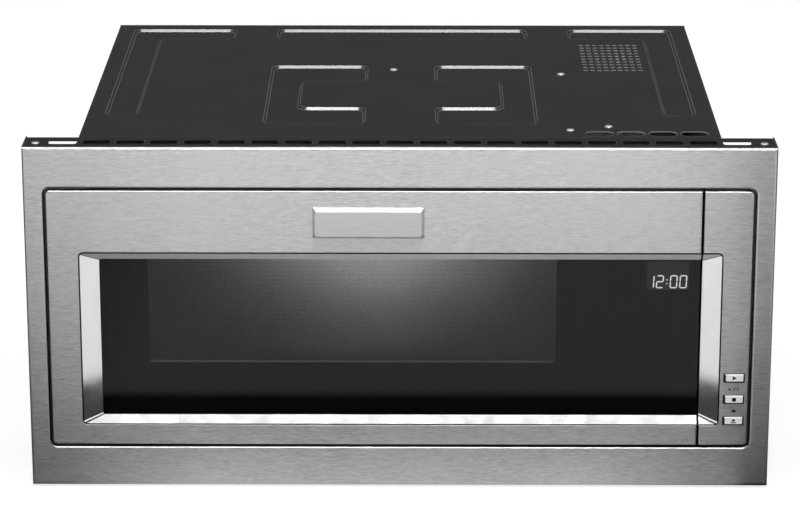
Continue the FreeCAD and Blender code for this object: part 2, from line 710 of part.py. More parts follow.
GUIDE_Z = "(trim_height - body_drop - cavity_roof - guide_drop - guide_height)"
SLOT_PITCH = "((trim_width - 2 * strip_end) / slot_count)"
SLOT_HALF = "(((trim_width - 2 * strip_end) / slot_count - slot_bridge) / 2)"
GLAND_X = "(trim_width / 2 - body_inset - gland_side)"
GLAND_Z = "(trim_height - body_drop - gland_drop)"
BUTTON_X = PANEL_RIGHT + " - button_right"
BUTTONS = ["open", "cancel", "start"]


def button_z(number):
    return "%s + button_low + %d * button_pitch" % (DOOR_LOW, number)


def hook_z(number):
    return "latch_low + %d * latch_span" % number


# Trim

def trim_frame():
    """Bent steel frame: deep side returns, short upper and lower lips and a return round the opening."""
    body = new_body("trim_frame")
    pad(body, "XZ", FRONT, [rectangle("-" + HALF, "0", HALF, "trim_height")], "trim_depth")
    face = value(FRONT)
    fillet(body, edges_where(body, lambda box: near(box.YMin, face) and near(box.YMax, face)), "trim_edge")
    inner = HALF + " - trim_sheet"
    hollow = rectangle("-(%s)" % inner, "trim_sheet", inner, STRIP_TOP)
    pocket(body, "XZ", BACK, [hollow], "trim_depth - trim_sheet", -1)
    lips = rectangle("-(%s)" % inner, "-trim_sheet", inner, "trim_height + trim_sheet")
    pocket(body, "XZ", BACK, [lips], "trim_depth - trim_lip", -1)
    opening = rectangle("-" + OPEN_X, "opening_bottom", OPEN_X, OPEN_TOP, "opening_radius")
    pocket(body, "XZ", FRONT, [opening], "trim_sheet")
    rim = rectangle("-%s - trim_sheet" % OPEN_X, "opening_bottom - trim_sheet", OPEN_X + " + trim_sheet",
                    OPEN_TOP + " + trim_sheet", "opening_radius + trim_sheet")
    pad(body, "XZ", FRONT + " + trim_sheet", [rim, opening], "opening_return - trim_sheet")
    side = value(HALF) - value("trim_edge") - 1
    fillet(body, edges_where(body, lambda box: near(box.YMin, face) and near(box.YMax, face)
                             and abs(box.XMin) < side and abs(box.XMax) < side
                             and box.ZMin > value("trim_edge") + 1
                             and box.ZMax < value("trim_height") - value("trim_edge") - 1), "opening_edge")
    piece("trim_frame", body)


def trim_vent(label, upright):
    """Channel-shaped black strip with a row of slots; the lower strip is the same channel turned over."""
    def level(drop):
        return STRIP_TOP + " - (%s)" % drop if upright else "trim_sheet + " + drop

    body = new_body(label)
    near_y, far_y = FRONT + " + trim_sheet", BACK
    channel = [(near_y, level("0")), (far_y, level("0")), (far_y, level("strip_back_lip")),
               (far_y + " - trim_sheet", level("strip_back_lip")),
               (far_y + " - trim_sheet", level("trim_sheet")),
               (near_y + " + trim_sheet", level("trim_sheet")),
               (near_y + " + trim_sheet", level("strip_front_lip")),
               (near_y, level("strip_front_lip"))]
    start = "fit + trim_sheet - " + HALF
    pad(body, "YZ", start, [channel], "trim_width - 2 * trim_sheet - 2 * fit")
    first = "-(slot_count - 1) / 2 * " + SLOT_PITCH
    slot = rectangle("%s - %s" % (first, SLOT_HALF), FRONT + " + slot_start", "%s + %s" % (first, SLOT_HALF),
                     FRONT + " + slot_start + slot_width", "slot_corner")
    way = -1 if upright else 1
    cutter = pocket(body, "XY", level("0"), [slot], "trim_sheet", way)
    repeat(body, cutter, "x", SLOT_PITCH, "slot_count")
    holes = [circle(side + "(%s - strip_screw_inset)" % HALF, FRONT + " + strip_screw_depth",
                    "screw_shank + hole_slack") for side in ("-", "")]
    pocket(body, "XY", level("0"), holes, "trim_sheet", way)
    piece(label, body)


def rail_screw_spots():
    """Places (y, z) of the two screws that hold a rail on the cabinet's side."""
    middle = "(rail_low + rail_high) / 2"
    return [(BACK + " + rail_tail * 0.6", middle + sign + "rail_hole_span * 0.4") for sign in (" - ", " + ")]


def rail_screw_holes():
    return [circle(y, z, "screw_shank + hole_slack") for y, z in rail_screw_spots()]


def trim_rails():
    """Angle rails that carry the trim: a leg on the cabinet side, a bearing leg and a leg along the trim."""
    outer = HALF + " - trim_sheet - fit"
    body = new_body("rail")
    low, high = "2 * trim_sheet", "trim_height - 2 * trim_sheet"
    stem = rectangle(outer + " - trim_sheet", FRONT + " + trim_lip", outer, BACK + " - trim_sheet")
    pad(body, "XY", low, [stem], "trim_height - 4 * trim_sheet")
    legs = [(SIDE_X, BACK + " - trim_sheet"), (outer, BACK + " - trim_sheet"), (outer, BACK),
            (SIDE_X + " + trim_sheet", BACK), (SIDE_X + " + trim_sheet", BACK + " + rail_tail"),
            (SIDE_X, BACK + " + rail_tail")]
    pad(body, "XY", "rail_low", [legs], "rail_high - rail_low")
    for ear_low in (low, high + " - trim_sheet"):
        ear = rectangle(outer + " - rail_ear", FRONT + " + trim_lip", outer, BACK + " - 2 * trim_sheet")
        pad(body, "XY", ear_low, [ear], "trim_sheet")
        hole = circle(HALF + " - strip_screw_inset", FRONT + " + strip_screw_depth",
                      "screw_shank + hole_slack")
        pocket(body, "XY", ear_low, [hole], "trim_sheet")
    middle = "(rail_low + rail_high) / 2"
    across = HALF + " - rail_hole_inset"
    holes = [circle(across, middle + sign + "rail_hole_span / 2", "rail_hole") for sign in (" - ", " + ")]
    pocket(body, "XZ", BACK, holes, "trim_sheet", -1)
    pocket(body, "YZ", SIDE_X, rail_screw_holes(), "trim_sheet")
    piece("trim_rails", group("rails", body, mirror_x("rail_left", body)))


def trim_screws():
    parts = []
    for side, sign in (("left", -1), ("right", 1)):
        x = "%d * (%s - strip_screw_inset)" % (sign, HALF)
        y = FRONT + " + strip_screw_depth"
        parts.append(screw("strip_screw_top_" + side, (0, 0, 1), x, y, STRIP_TOP))
        parts.append(screw("strip_screw_low_" + side, (0, 0, -1), x, y, "trim_sheet"))
        for number, (along, height) in enumerate(rail_screw_spots()):
            parts.append(screw("rail_screw_%s_%d" % (side, number), (sign, 0, 0),
                               "%d * (%s + trim_sheet)" % (sign, SIDE_X), along, height))
    piece("trim_screws", group("trim_screw_set", *parts))


# Cabinet

def groove_outlines():
    """Five pressed grooves: two L shapes, two C shapes and a straight one, seen from above."""
    outlines = []
    rear = BODY_BACK + " - groove_back"
    inner_rear = rear + " - groove_rear_band"
    leg_front = BACK + " + groove_front"
    hook_front = BACK + " + hook_front"
    hook_rear = hook_front + " + hook_length"
    for sign in ("-", ""):
        def across(text):
            return sign + "(%s)" % text

        leg_out = across(BODY_X + " - groove_side")
        leg_in = across(BODY_X + " - groove_side - groove_band")
        tip = across("groove_end")
        outlines.append([corner + ("groove_corner",) for corner in (
            (leg_out, leg_front), (leg_out, rear), (tip, rear), (tip, inner_rear), (leg_in, inner_rear),
            (leg_in, leg_front))])
        hook_out = across(BODY_X + " - hook_side")
        hook_in = across(BODY_X + " - hook_side - hook_band")
        mouth = across("hook_inner")
        outlines.append([corner + ("groove_corner",) for corner in (
            (hook_out, hook_front), (hook_out, hook_rear), (mouth, hook_rear),
            (mouth, hook_rear + " - hook_arm"),
            (hook_in, hook_rear + " - hook_arm"), (hook_in, hook_front + " + hook_arm"),
            (mouth, hook_front + " + hook_arm"), (mouth, hook_front))])
    outlines.append(rectangle("-bar_half", inner_rear, "bar_half", rear, "groove_corner"))
    return outlines


TOP_SCREWS = [
    ("-lid_screw_left", BACK + " + lid_screw_back"),
    (BODY_X + " - lid_screw_side", BACK + " + lid_screw_rear"),
    (BODY_X + " - lid_screw_side", BACK + " + lid_screw_front"),
    (BODY_X + " - rivet_side", BACK + " + rivet_front"),
]


def top_panel():
    """Top sheet bent down at both sides, with pressed grooves, vent holes and long slots."""
    body = new_body("top_panel")
    inner = BODY_X + " - sheet"
    channel = [("-" + BODY_X, BODY_TOP + " - flange"), ("-" + BODY_X, BODY_TOP, "bend"),
               (BODY_X, BODY_TOP, "bend"),
               (BODY_X, BODY_TOP + " - flange"), (inner, BODY_TOP + " - flange"),
               (inner, BODY_TOP + " - sheet", "bend - sheet"),
               ("-(%s)" % inner, BODY_TOP + " - sheet", "bend - sheet"),
               ("-(%s)" % inner, BODY_TOP + " - flange")]
    pad(body, "XZ", BACK, [channel], "body_depth")
    outlines = groove_outlines()
    pad(body, "XY", BODY_TOP + " - sheet", outlines, "groove_depth", -1, "-groove_slope")
    pocket(body, "XY", BODY_TOP, outlines, "groove_depth", -1, "-groove_slope")
    grid = circle(BODY_X + " - grid_side - (grid_columns - 1) * grid_pitch_x",
                  BODY_BACK + " - grid_back - (grid_rows - 1) * grid_pitch_y", "grid_hole")
    hole = pocket(body, "XY", BODY_TOP, [grid], "sheet", -1)
    repeat(body, hole, "x", "grid_pitch_x", "grid_columns", ("y", "grid_pitch_y", "grid_rows"))
    port_right = BODY_X + " - port_side - (port_count - 1) * port_pitch"
    port_low = BACK + " + port_front"
    slot = rectangle(port_right + " - port_length", port_low, port_right, port_low + " + port_width",
                     "port_corner")
    port = pocket(body, "XY", BODY_TOP, [slot], "sheet", -1)
    repeat(body, port, "x", "port_pitch", "port_count")
    holes = [circle(x, y, "screw_shank + hole_slack") for x, y in TOP_SCREWS]
    pocket(body, "XY", BODY_TOP, holes, "sheet", -1)
    piece("top_panel", body)


def side_panels():
    """Flat side sheets inside the top's flanges; the right one has vent slots beside the machine bay."""
    outline = rectangle(BACK, BASE, BODY_BACK, BODY_TOP + " - bend")
    right = new_body("side_right")
    pad(right, "YZ", SIDE_X, [outline], "sheet", -1)
    pocket(right, "YZ", SIDE_X, rail_screw_holes(), "sheet", -1)
    start = BODY_BACK + " - side_vent_back"
    slot = rectangle(start, "side_vent_low", start + " + breather_width", "side_vent_low + breather_length",
                     "breather_width / 2.2")
    cutter = pocket(right, "YZ", SIDE_X, [slot], "sheet", -1)
    repeat(right, cutter, "y", "breather_pitch", "breather_count")
    left = new_body("side_left")
    pad(left, "YZ", "-" + SIDE_X, [outline], "sheet")
    pocket(left, "YZ", "-" + SIDE_X, rail_screw_holes(), "sheet")
    piece("side_panels", group("sides", right, left))


def base_pan():
    """Bottom sheet with upturned sides and a group of vent slots under the machine bay."""
    body = new_body("base_pan")
    outer = BODY_X + " - 2 * sheet"
    inner = BODY_X + " - 3 * sheet"
    channel = [("-(%s)" % outer, BASE), (outer, BASE), (outer, BASE + " + flange"),
               (inner, BASE + " + flange"),
               (inner, BASE + " + sheet"), ("-(%s)" % inner, BASE + " + sheet"),
               ("-(%s)" % inner, BASE + " + flange"), ("-(%s)" % outer, BASE + " + flange")]
    pad(body, "XZ", BACK, [channel], "body_depth")
    start = BACK + " + base_vent_front"
    slot = rectangle(BAY_MID + " - breather_length / 2", start, BAY_MID + " + breather_length / 2",
                     start + " + breather_width", "breather_width / 2.2")
    cutter = pocket(body, "XY", BASE, [slot], "sheet")
    repeat(body, cutter, "y", "breather_pitch", "breather_count")
    piece("base_pan", body)


def back_screw_spots():
    """Places (x, z) of the rear sheet's four corner screws."""
    across = "(%s - back_screw_inset)" % BODY_X
    levels = (BASE + " + back_screw_inset", BODY_TOP + " - back_screw_inset")
    return [(side + across, level) for side in ("-", "") for level in levels]


def back_panel():
    """Rear sheet with the fan's intake slots and the hole of the cord gland."""
    body = new_body("back_panel")
    pad(body, "XZ", BODY_BACK, [rectangle("-" + BODY_X, BASE, BODY_X, BODY_TOP)], "sheet")
    low = "fan_z - back_vent_drop - (breather_count - 1) / 2 * breather_pitch"
    slot = rectangle(BAY_MID + " - breather_length / 2", low + " - breather_width / 2",
                     BAY_MID + " + breather_length / 2", low + " + breather_width / 2",
                     "breather_width / 2.2")
    cutter = pocket(body, "XZ", BODY_BACK, [slot], "sheet")
    repeat(body, cutter, "z", "breather_pitch", "breather_count")
    pocket(body, "XZ", BODY_BACK, [circle(GLAND_X, GLAND_Z, "gland_radius + gland_wall")], "sheet")
    holes = [circle(x, z, "screw_shank + hole_slack") for x, z in back_screw_spots()]
    pocket(body, "XZ", BODY_BACK, holes, "sheet")
    piece("back_panel", body)


def front_plate():
    """Plate that carries the oven's mouth, the door seal face and the latch slots."""
    body = new_body("front_plate")
    pad(body, "XZ", PLATE_FRONT, [rectangle("-" + SIDE_X, BASE, SIDE_X, OPEN_TOP)], "sheet")
    mouth = [(CAVITY_LEFT, "cavity_floor"), (CAVITY_RIGHT, "cavity_floor"),
             (CAVITY_RIGHT, CAVITY_TOP, "cavity_radius"), (CAVITY_LEFT, CAVITY_TOP, "cavity_radius")]
    pocket(body, "XZ", PLATE_FRONT, [mouth], "sheet")
    slots = [rectangle(LATCH_X + " - latch_plate", hook_z(n) + " - latch_height / 2 - latch_room",
                       LATCH_X + " + 2 * latch_plate", hook_z(n) + " + latch_height / 2 + latch_room")
             for n in range(2)]
    pocket(body, "XZ", PLATE_FRONT, slots, "sheet")
    piece("front_plate", body)


def exhaust_louvre():
    """Slotted plate above the front plate that lets the cooling air out behind the trim."""
    body = new_body("exhaust_louvre")
    inner = BODY_X + " - 2 * sheet"
    top = "min(%s; %s - strip_back_lip - fit)" % (BODY_TOP, STRIP_TOP)
    pad(body, "XZ", PLATE_FRONT, [rectangle("-(%s)" % inner, OPEN_TOP, inner, top)], "sheet")
    pitch = "((2 * %s - 2 * louvre_end) / louvre_count)" % BODY_X
    first = "-(louvre_count - 1) / 2 * " + pitch
    half = "(%s - louvre_bridge) / 2" % pitch
    middle = "(%s + %s) / 2" % (OPEN_TOP, BODY_TOP)
    slot = rectangle("%s - %s" % (first, half), middle + " - louvre_width / 2", "%s + %s" % (first, half),
                     middle + " + louvre_width / 2", "louvre_width / 3")
    cutter = pocket(body, "XZ", PLATE_FRONT, [slot], "sheet")
    repeat(body, cutter, "x", pitch, "louvre_count")
    piece("exhaust_louvre", body)


def cabinet_screws():
    parts = []
    for number, (x, y) in enumerate(TOP_SCREWS):
        parts.append(screw("top_screw_%d" % number, (0, 0, 1), x, y, BODY_TOP))
    for number, (x, z) in enumerate(back_screw_spots()):
        parts.append(screw("back_screw_%d" % number, (0, 1, 0), x, BODY_BACK + " + sheet", z))
    piece("cabinet_screws", group("cabinet_screw_set", *parts))


def feet():
    parts = []
    for side in ("-", ""):
        for end, y in (("front", BACK + " + foot_inset"), ("rear", BODY_BACK + " - foot_inset")):
            parts.append(rod("foot_%s_%s" % (end, "left" if side else "right"), "z", "foot_radius",
                             "foot_height",
                             side + "(%s - foot_inset)" % BODY_X, y, "0"))
    piece("feet", group("foot_set", *parts))


def cord_gland():
    """Bush with a flange on each side of the rear sheet."""
    body = new_body("cord_gland")
    ring = circle(GLAND_X, GLAND_Z, "gland_radius + gland_wall - press_gap")
    bore = circle(GLAND_X, GLAND_Z, "gland_radius")
    lip = circle(GLAND_X, GLAND_Z, "gland_radius + 2 * gland_wall")
    pad(body, "XZ", BODY_BACK, [ring, bore], "sheet")
    pad(body, "XZ", BODY_BACK + " + sheet", [lip, bore], "gland_wall / 2")
    pad(body, "XZ", BODY_BACK, [lip, bore], "gland_wall", -1)
    piece("cord_gland", body)


# Oven liner

def cavity_wrap():
    """Bent sheet that forms the oven's sides and ceiling, with the waveguide's port."""
    body = new_body("cavity_wrap")
    left, right = CAVITY_LEFT, CAVITY_RIGHT
    arch = [(left + " - sheet", "cavity_floor - sheet"), (left, "cavity_floor - sheet"),
            (left, CAVITY_TOP, "cavity_radius"), (right, CAVITY_TOP, "cavity_radius"),
            (right, "cavity_floor - sheet"), (right + " + sheet", "cavity_floor - sheet"),
            (right + " + sheet", CAVITY_TOP + " + sheet", "cavity_radius + sheet"),
            (left + " - sheet", CAVITY_TOP + " + sheet", "cavity_radius + sheet")]
    pad(body, "XZ", BACK, [arch], "body_depth - rear_room")
    port = rectangle(BACK + " + guide_y + guide_lip", GUIDE_Z + " + guide_lip",
                     BACK + " + guide_y + guide_length - guide_lip", GUIDE_Z + " + guide_height - guide_lip")
    pocket(body, "YZ", right, [port], "sheet")
    piece("cavity_wrap", body)


def cavity_floor():
    """Bent sheet that forms the oven's floor and back, with the drive shaft's hole."""
    body = new_body("cavity_floor")
    bent = [(BACK, "cavity_floor - sheet"), (CAVITY_BACK, "cavity_floor - sheet"), (CAVITY_BACK, CAVITY_TOP),
            (CAVITY_BACK + " - sheet", CAVITY_TOP), (CAVITY_BACK + " - sheet", "cavity_floor"),
            (BACK, "cavity_floor")]
    pad(body, "YZ", CAVITY_LEFT, [bent], CAVITY_RIGHT + " - " + CAVITY_LEFT)
    top = value(CAVITY_TOP)
    ends = (value(CAVITY_LEFT), value(CAVITY_RIGHT))
    corners = edges_where(body, lambda box: near(box.ZMin, top) and near(box.ZMax, top)
                          and near(box.XMin, box.XMax)
                          and (near(box.XMin, ends[0]) or near(box.XMin, ends[1])))
    fillet(body, corners, "cavity_radius")
    pocket(body, "XY", "cavity_floor", [circle(CAVITY_MID, TABLE_Y, "shaft_hole")], "sheet", -1)
    piece("cavity_floor", body)


def waveguide():
    """Sheet box on the liner's right side that leads from the magnetron to the port."""
    left, right = BAY_LEFT, BAY_LEFT + " + guide_depth"
    y = (BACK + " + guide_y", BACK + " + guide_y + guide_length")
    z = (GUIDE_Z, GUIDE_Z + " + guide_height")
    hull = block("waveguide_hull", (left, right), y, z)
    room = block("waveguide_room", (left + " - 1", right + " - sheet"),
                 (y[0] + " + sheet", y[1] + " - sheet"), (z[0] + " + sheet", z[1] + " - sheet"))
    bore = rod("waveguide_bore", "x", "antenna_radius + antenna_gap", "2 * sheet", right + " - 1.5 * sheet",
               BACK + " + guide_y + guide_length / 2", GUIDE_Z + " + guide_height / 2")
    piece("waveguide", cut("waveguide_box", hull, room, bore))


def waveguide_cover():
    piece("waveguide_cover", block(
        "mica", (CAVITY_RIGHT + " - mica_sheet", CAVITY_RIGHT),
        (BACK + " + guide_y", BACK + " + guide_y + guide_length"), (GUIDE_Z, GUIDE_Z + " + guide_height")))


def magnetron():
    """Box yoke open at two sides, and the finned anode with its antenna inside it."""
    left = BAY_LEFT + " + guide_depth"
    middle_y = BACK + " + guide_y + guide_length / 2"
    middle_z = GUIDE_Z + " + guide_height / 2"
    y = (middle_y + " - yoke_length / 2", middle_y + " + yoke_length / 2")
    z = (middle_z + " - yoke_height / 2", middle_z + " + yoke_height / 2")
    hull = block("yoke_hull", (left, left + " + yoke_width"), y, z)
    room = block("yoke_room", (left + " + yoke_sheet", left + " + yoke_width - yoke_sheet"),
                 (y[0] + " - 1", y[1] + " + 1"), (z[0] + " + yoke_sheet", z[1] + " - yoke_sheet"))
    bore = rod("yoke_bore", "x", "antenna_radius + antenna_gap", "yoke_sheet + 2", left + " - 1", middle_y,
               middle_z)
    piece("magnetron_yoke", cut("yoke", hull, room, bore))
    parts = [rod("anode", "x", "anode_radius", "yoke_width - 2 * yoke_sheet", left + " + yoke_sheet",
                 middle_y,
                 middle_z),
             rod("antenna", "x", "antenna_radius", "guide_depth / 2 + yoke_sheet",
                 left + " - guide_depth / 2",
                 middle_y, middle_z)]
    for number in range(int(value("fin_count"))):
        x = "%s + yoke_sheet + (yoke_width - 2 * yoke_sheet) * (%d + 1) / (fin_count + 1)" % (left, number)
        parts.append(block("fin_%d" % number, (x, x + " + fin_sheet"),
                           (y[0] + " + fin_inset", y[1] + " - fin_inset"),
                           (z[0] + " + yoke_sheet", z[1] + " - yoke_sheet")))
    piece("magnetron_anode", fuse("anode_set", *parts))


def transformer():
    """Laminated core with two windows, and the winding round its middle limb."""
    x = (BAY_MID + " - core_width / 2", BAY_MID + " + core_width / 2")
    y = (BACK + " + core_y", BACK + " + core_y + core_length")
    z = (BASE + " + sheet", BASE + " + sheet + core_height")
    hull = block("core_hull", x, y, z)
    windows = [block("core_window_%s" % name, limits, (y[0] + " - 1", y[1] + " + 1"),
                     (z[0] + " + core_limb", z[1] + " - core_limb"))
               for name, limits in (("left", (x[0] + " + core_limb", BAY_MID + " - core_limb")),
                                    ("right", (BAY_MID + " + core_limb", x[1] + " - core_limb")))]
    piece("transformer_core", cut("core", hull, *windows))
    outside = block("coil_hull", (x[0] + " + core_limb", x[1] + " - core_limb"),
                    (y[0] + " - coil_bulge", y[1] + " + coil_bulge"),
                    (z[0] + " + core_limb", z[1] + " - core_limb"))
    limb = block("coil_limb", (BAY_MID + " - core_limb", BAY_MID + " + core_limb"), y,
                 (z[0] + " + core_limb - 1", z[1] + " - core_limb + 1"))
    piece("transformer_winding", cut("coil", outside, limb))


def capacitor():
    body = new_body("capacitor")
    y = BACK + " + can_y"
    can = rectangle(BAY_MID + " - can_width / 2", y, BAY_MID + " + can_width / 2", y + " + can_length",
                    "can_length / 2.2")
    pad(body, "XY", BASE + " + sheet", [can], "can_height")
    posts = [circle(BAY_MID + side + " can_width / 5", y + " + can_length / 2", "post_radius")
             for side in (" -", " +")]
    pad(body, "XY", BASE + " + sheet + can_height", posts, "post_height")
    piece("capacitor", body)


def fan():
    """Square shroud with a round bore and a three-armed spider, its motor and the bladed wheel."""
    half = "(fan_radius + fan_tip + fan_wall)"
    front = BODY_BACK + " - fan_depth"
    body = new_body("fan_shroud")
    frame = rectangle("%s - %s" % (BAY_MID, half), "fan_z - " + half, "%s + %s" % (BAY_MID, half),
                      "fan_z + " + half)
    pad(body, "XZ", front, [frame, circle(BAY_MID, "fan_z", "fan_radius + fan_tip")], "fan_depth")
    arms = [rectangle("%s - %s" % (BAY_MID, half), "fan_z - spider_arm / 2", "%s + %s" % (BAY_MID, half),
                      "fan_z + spider_arm / 2")]
    pad(body, "XZ", front, arms, "fan_wall")
    hub = circle(BAY_MID, "fan_z", "fan_motor")
    pad(body, "XZ", front, [hub], "fan_wall")
    pocket(body, "XZ", front, [circle(BAY_MID, "fan_z", "shaft_radius + 1")], "fan_wall")
    piece("fan_shroud", body)

    motor = new_body("fan_motor")
    pad(motor, "XZ", front, [circle(BAY_MID, "fan_z", "fan_motor")], "fan_motor_depth", -1)
    pocket(motor, "XZ", front, [circle(BAY_MID, "fan_z", "shaft_radius + axle_play")], "fan_motor_depth / 2",
           -1)
    piece("fan_motor", motor)

    wheel_front = front + " + fan_wall + wheel_gap"
    depth = "(fan_depth - fan_wall - wheel_room)"
    blade_depth = "(fan_depth - fan_wall - blade_room)"
    parts = [rod("fan_hub_rod", "y", "fan_hub", depth, BAY_MID, wheel_front, "fan_z"),
             rod("fan_shaft", "y", "shaft_radius", "fan_motor_depth / 2 + fan_wall", BAY_MID,
                 front + " - fan_motor_depth / 2 + wheel_gap", "fan_z")]
    for number in range(int(value("blade_count"))):
        blade = doc.addObject("Part::Box", "blade_%d" % number)
        bind(blade, "Length", "fan_radius - fan_hub / 2 - 1")
        bind(blade, "Width", blade_depth)
        bind(blade, "Height", "blade_sheet")
        turn = Rotation(Vector(0, 1, 0), 360.0 * number / value("blade_count"))
        lean = Rotation(Vector(1, 0, 0), value("blade_pitch"))
        rotation = turn.multiply(lean)
        middle = Vector(value("fan_hub") / 2, -value(blade_depth) / 2, -value("blade_sheet") / 2)
        shift = rotation.multVec(middle)
        blade.Placement = Placement(Vector(), rotation)
        place(blade, "%s + %.6f" % (BAY_MID, shift.x), "%s + %s / 2 + %.6f" % (wheel_front, depth, shift.y),
              "fan_z + %.6f" % shift.z)
        parts.append(blade)
    piece("fan_impeller", fuse("wheel", *parts))


def cavity_lamp():
    """Lamp socket on the liner's right side and the bulb in front of it."""
    y = BACK + " + lamp_y"
    z = CAVITY_TOP + " - lamp_drop"
    base = block("lamp_base", (BAY_LEFT, BAY_LEFT + " + lamp_depth"), (y, y + " + lamp_length"),
                 (z, z + " + lamp_height"))
    bulb = rod("lamp_bulb", "x", "bulb_radius", "bulb_length", BAY_LEFT + " + lamp_depth",
               y + " + lamp_length / 2",
               z + " + lamp_height / 2")
    piece("cavity_lamp", group("lamp", base, bulb))


# Left end, front end, width, length and height of the parts on the control board
RELAYS = [(20, 18, 28, 30, 22), (62, 20, 16, 24, 18), (84, 20, 16, 24, 18), (60, 66, 40, 26, 30)]


def control_board():
    """Circuit board on four posts above the oven, with relays and a small transformer."""
    left, front = CAVITY_MID + " - control_width / 2", BACK + " + control_y"
    right, rear = left + " + control_width", front + " + control_length"
    low = CAVITY_TOP + " + sheet"
    under, face = low + " + control_lift", low + " + control_lift + board_sheet"
    parts = [block("board_sheet_box", (left, right), (front, rear), (under, face))]
    spots = [(x, y) for x in (left + " + control_inset", right + " - control_inset")
             for y in (front + " + control_inset", rear + " - control_inset")]
    for number, (x, y) in enumerate(spots):
        parts.append(rod("board_post_%d" % number, "z", "control_post", "control_lift", x, y, low))
    for number, (start_x, start_y, width, length, height) in enumerate(RELAYS):
        x, y = "%s + %d" % (left, start_x), "%s + %d" % (front, start_y)
        parts.append(block("relay_%d" % number, (x, "%s + %d" % (x, width)), (y, "%s + %d" % (y, length)),
                           (face, "%s + %d" % (face, height))))
    piece("control_board", group("board", *parts))


# Turntable

def turntable():
    """Glass tray, its drive hub with shaft, the motor below the floor and the ring with three rollers."""
    tray = new_body("glass_tray")
    place(tray, CAVITY_MID, TABLE_Y, TRAY_Z)
    revolve(tray, [("0", "0"), ("tray_radius - tray_slope", "0"), ("tray_radius", "tray_rim - rim_drop"),
                   ("tray_radius", "tray_rim"), ("tray_radius - rim_edge", "tray_rim"),
                   ("tray_radius - tray_slope - rim_edge / 2", "tray_thick"), ("0", "tray_thick")])
    piece("glass_tray", tray)

    hub_low = "cavity_floor + hub_gap"
    parts = [rod("drive_hub", "z", "hub_radius", TRAY_Z + " - cavity_floor - hub_gap", CAVITY_MID, TABLE_Y,
                 hub_low),
             rod("drive_shaft", "z", "shaft_radius", "motor_height / 2 + sheet + hub_gap", CAVITY_MID,
                 TABLE_Y,
                 "cavity_floor - sheet - motor_height / 2")]
    for number in range(3):
        arm = doc.addObject("Part::Box", "drive_arm_%d" % number)
        bind(arm, "Length", "2.2 * hub_radius")
        bind(arm, "Width", "hub_radius * 0.8")
        bind(arm, "Height", "roller_radius * 0.9")
        turn = Rotation(Vector(0, 0, 1), 120.0 * number + 30)
        arm.Placement = Placement(Vector(), turn)
        shift = turn.multVec(Vector(0, -value("hub_radius") * 0.4, 0))
        place(arm, "%s + %.6f" % (CAVITY_MID, shift.x), "%s + %.6f" % (TABLE_Y, shift.y),
              TRAY_Z + " - roller_radius * 0.9")
        parts.append(arm)
    piece("drive_coupler", fuse("coupler", *parts))

    motor = new_body("turntable_motor")
    pad(motor, "XY", "cavity_floor - sheet", [circle(CAVITY_MID, TABLE_Y, "motor_radius")], "motor_height",
        -1)
    pocket(motor, "XY", "cavity_floor - sheet", [circle(CAVITY_MID, TABLE_Y, "shaft_radius + axle_play")],
           "motor_height / 2 + 1", -1)
    piece("turntable_motor", motor)

    outer = rod("ring_outer_rod", "z", "ring_outer", "ring_height", CAVITY_MID, TABLE_Y,
                ROLLER_Z + " - ring_height / 2")
    inner = rod("ring_inner_rod", "z", "ring_outer - ring_wall", "ring_height + 2", CAVITY_MID, TABLE_Y,
                ROLLER_Z + " - ring_height / 2 - 1")
    ring = [cut("ring_band", outer, inner)]
    for number, letter in enumerate("abc"):
        angle = 90.0 + 120.0 * number
        outward = (math.cos(math.radians(angle)), math.sin(math.radians(angle)))
        turn = Rotation(Vector(0, 0, 1), Vector(outward[0], outward[1], 0))

        def along(distance):
            return ("%s + %.9f * (%s)" % (CAVITY_MID, outward[0], distance),
                    "%s + %.9f * (%s)" % (TABLE_Y, outward[1], distance), ROLLER_Z)

        def stub(name, radius, start, length):
            item = doc.addObject("Part::Cylinder", name + letter)
            bind(item, "Radius", radius)
            bind(item, "Height", length)
            item.Placement = Placement(Vector(), turn)
            return place(item, *along(start))

        ring.append(stub("axle_", "axle_radius", "ring_outer - ring_wall / 2",
                         "roller_circle + roller_width / 2 + cap_gap + cap_thick"
                         " - ring_outer + ring_wall / 2"))
        ring.append(stub("axle_cap_", "axle_radius * 1.6", "roller_circle + roller_width / 2 + cap_gap",
                         "cap_thick"))
        tyre = stub("tyre_", "roller_radius", "roller_circle - roller_width / 2", "roller_width")
        bore = stub("tyre_bore_", "axle_radius + axle_play", "roller_circle - roller_width / 2 - 1",
                    "roller_width + 2")
        piece("roller_" + letter, cut("roller_cut_" + letter, tyre, bore))
    piece("roller_ring", fuse("ring", *ring))


# Door

def door_skin():
    """Steel front of the door, folded round its edges and open to the right for the glass."""
    body = new_body("door_skin")

    def outline(inset, corner):
        left, right = DOOR_LEFT + " + " + inset, DOOR_RIGHT + " - " + inset
        low, high = DOOR_LOW + " + " + inset, DOOR_TOP + " - " + inset
        return [(left, low, corner), (right, low), (right, high), (left, high, corner)]

    pad(body, "XZ", FRONT, [outline("0", "skin_corner")], "skin_return")
    face = value(FRONT)
    fillet(body, edges_where(body, lambda box: near(box.YMin, face) and near(box.YMax, face)), "skin_edge")
    pocket(body, "XZ", FRONT + " + skin_return", [outline("skin", "skin_corner - skin")],
           "skin_return - skin", -1)
    beyond = DOOR_RIGHT + " + seam_gap"
    mouth = [(RAMP_LEFT, RAMP_LOW, "bezel_corner"), (beyond, RAMP_LOW), (beyond, RAMP_TOP),
             (RAMP_LEFT, RAMP_TOP, "bezel_corner")]
    pocket(body, "XZ", FRONT, [mouth], "skin_return")
    holes = [circle(HINGE_X, HINGE_Y, "hinge_pin + bush_wall + bush_collar + bush_room")]
    pocket(body, "XY", DOOR_LOW, holes, "skin")
    pocket(body, "XY", DOOR_TOP, holes, "skin", -1)
    piece("door_skin", body)


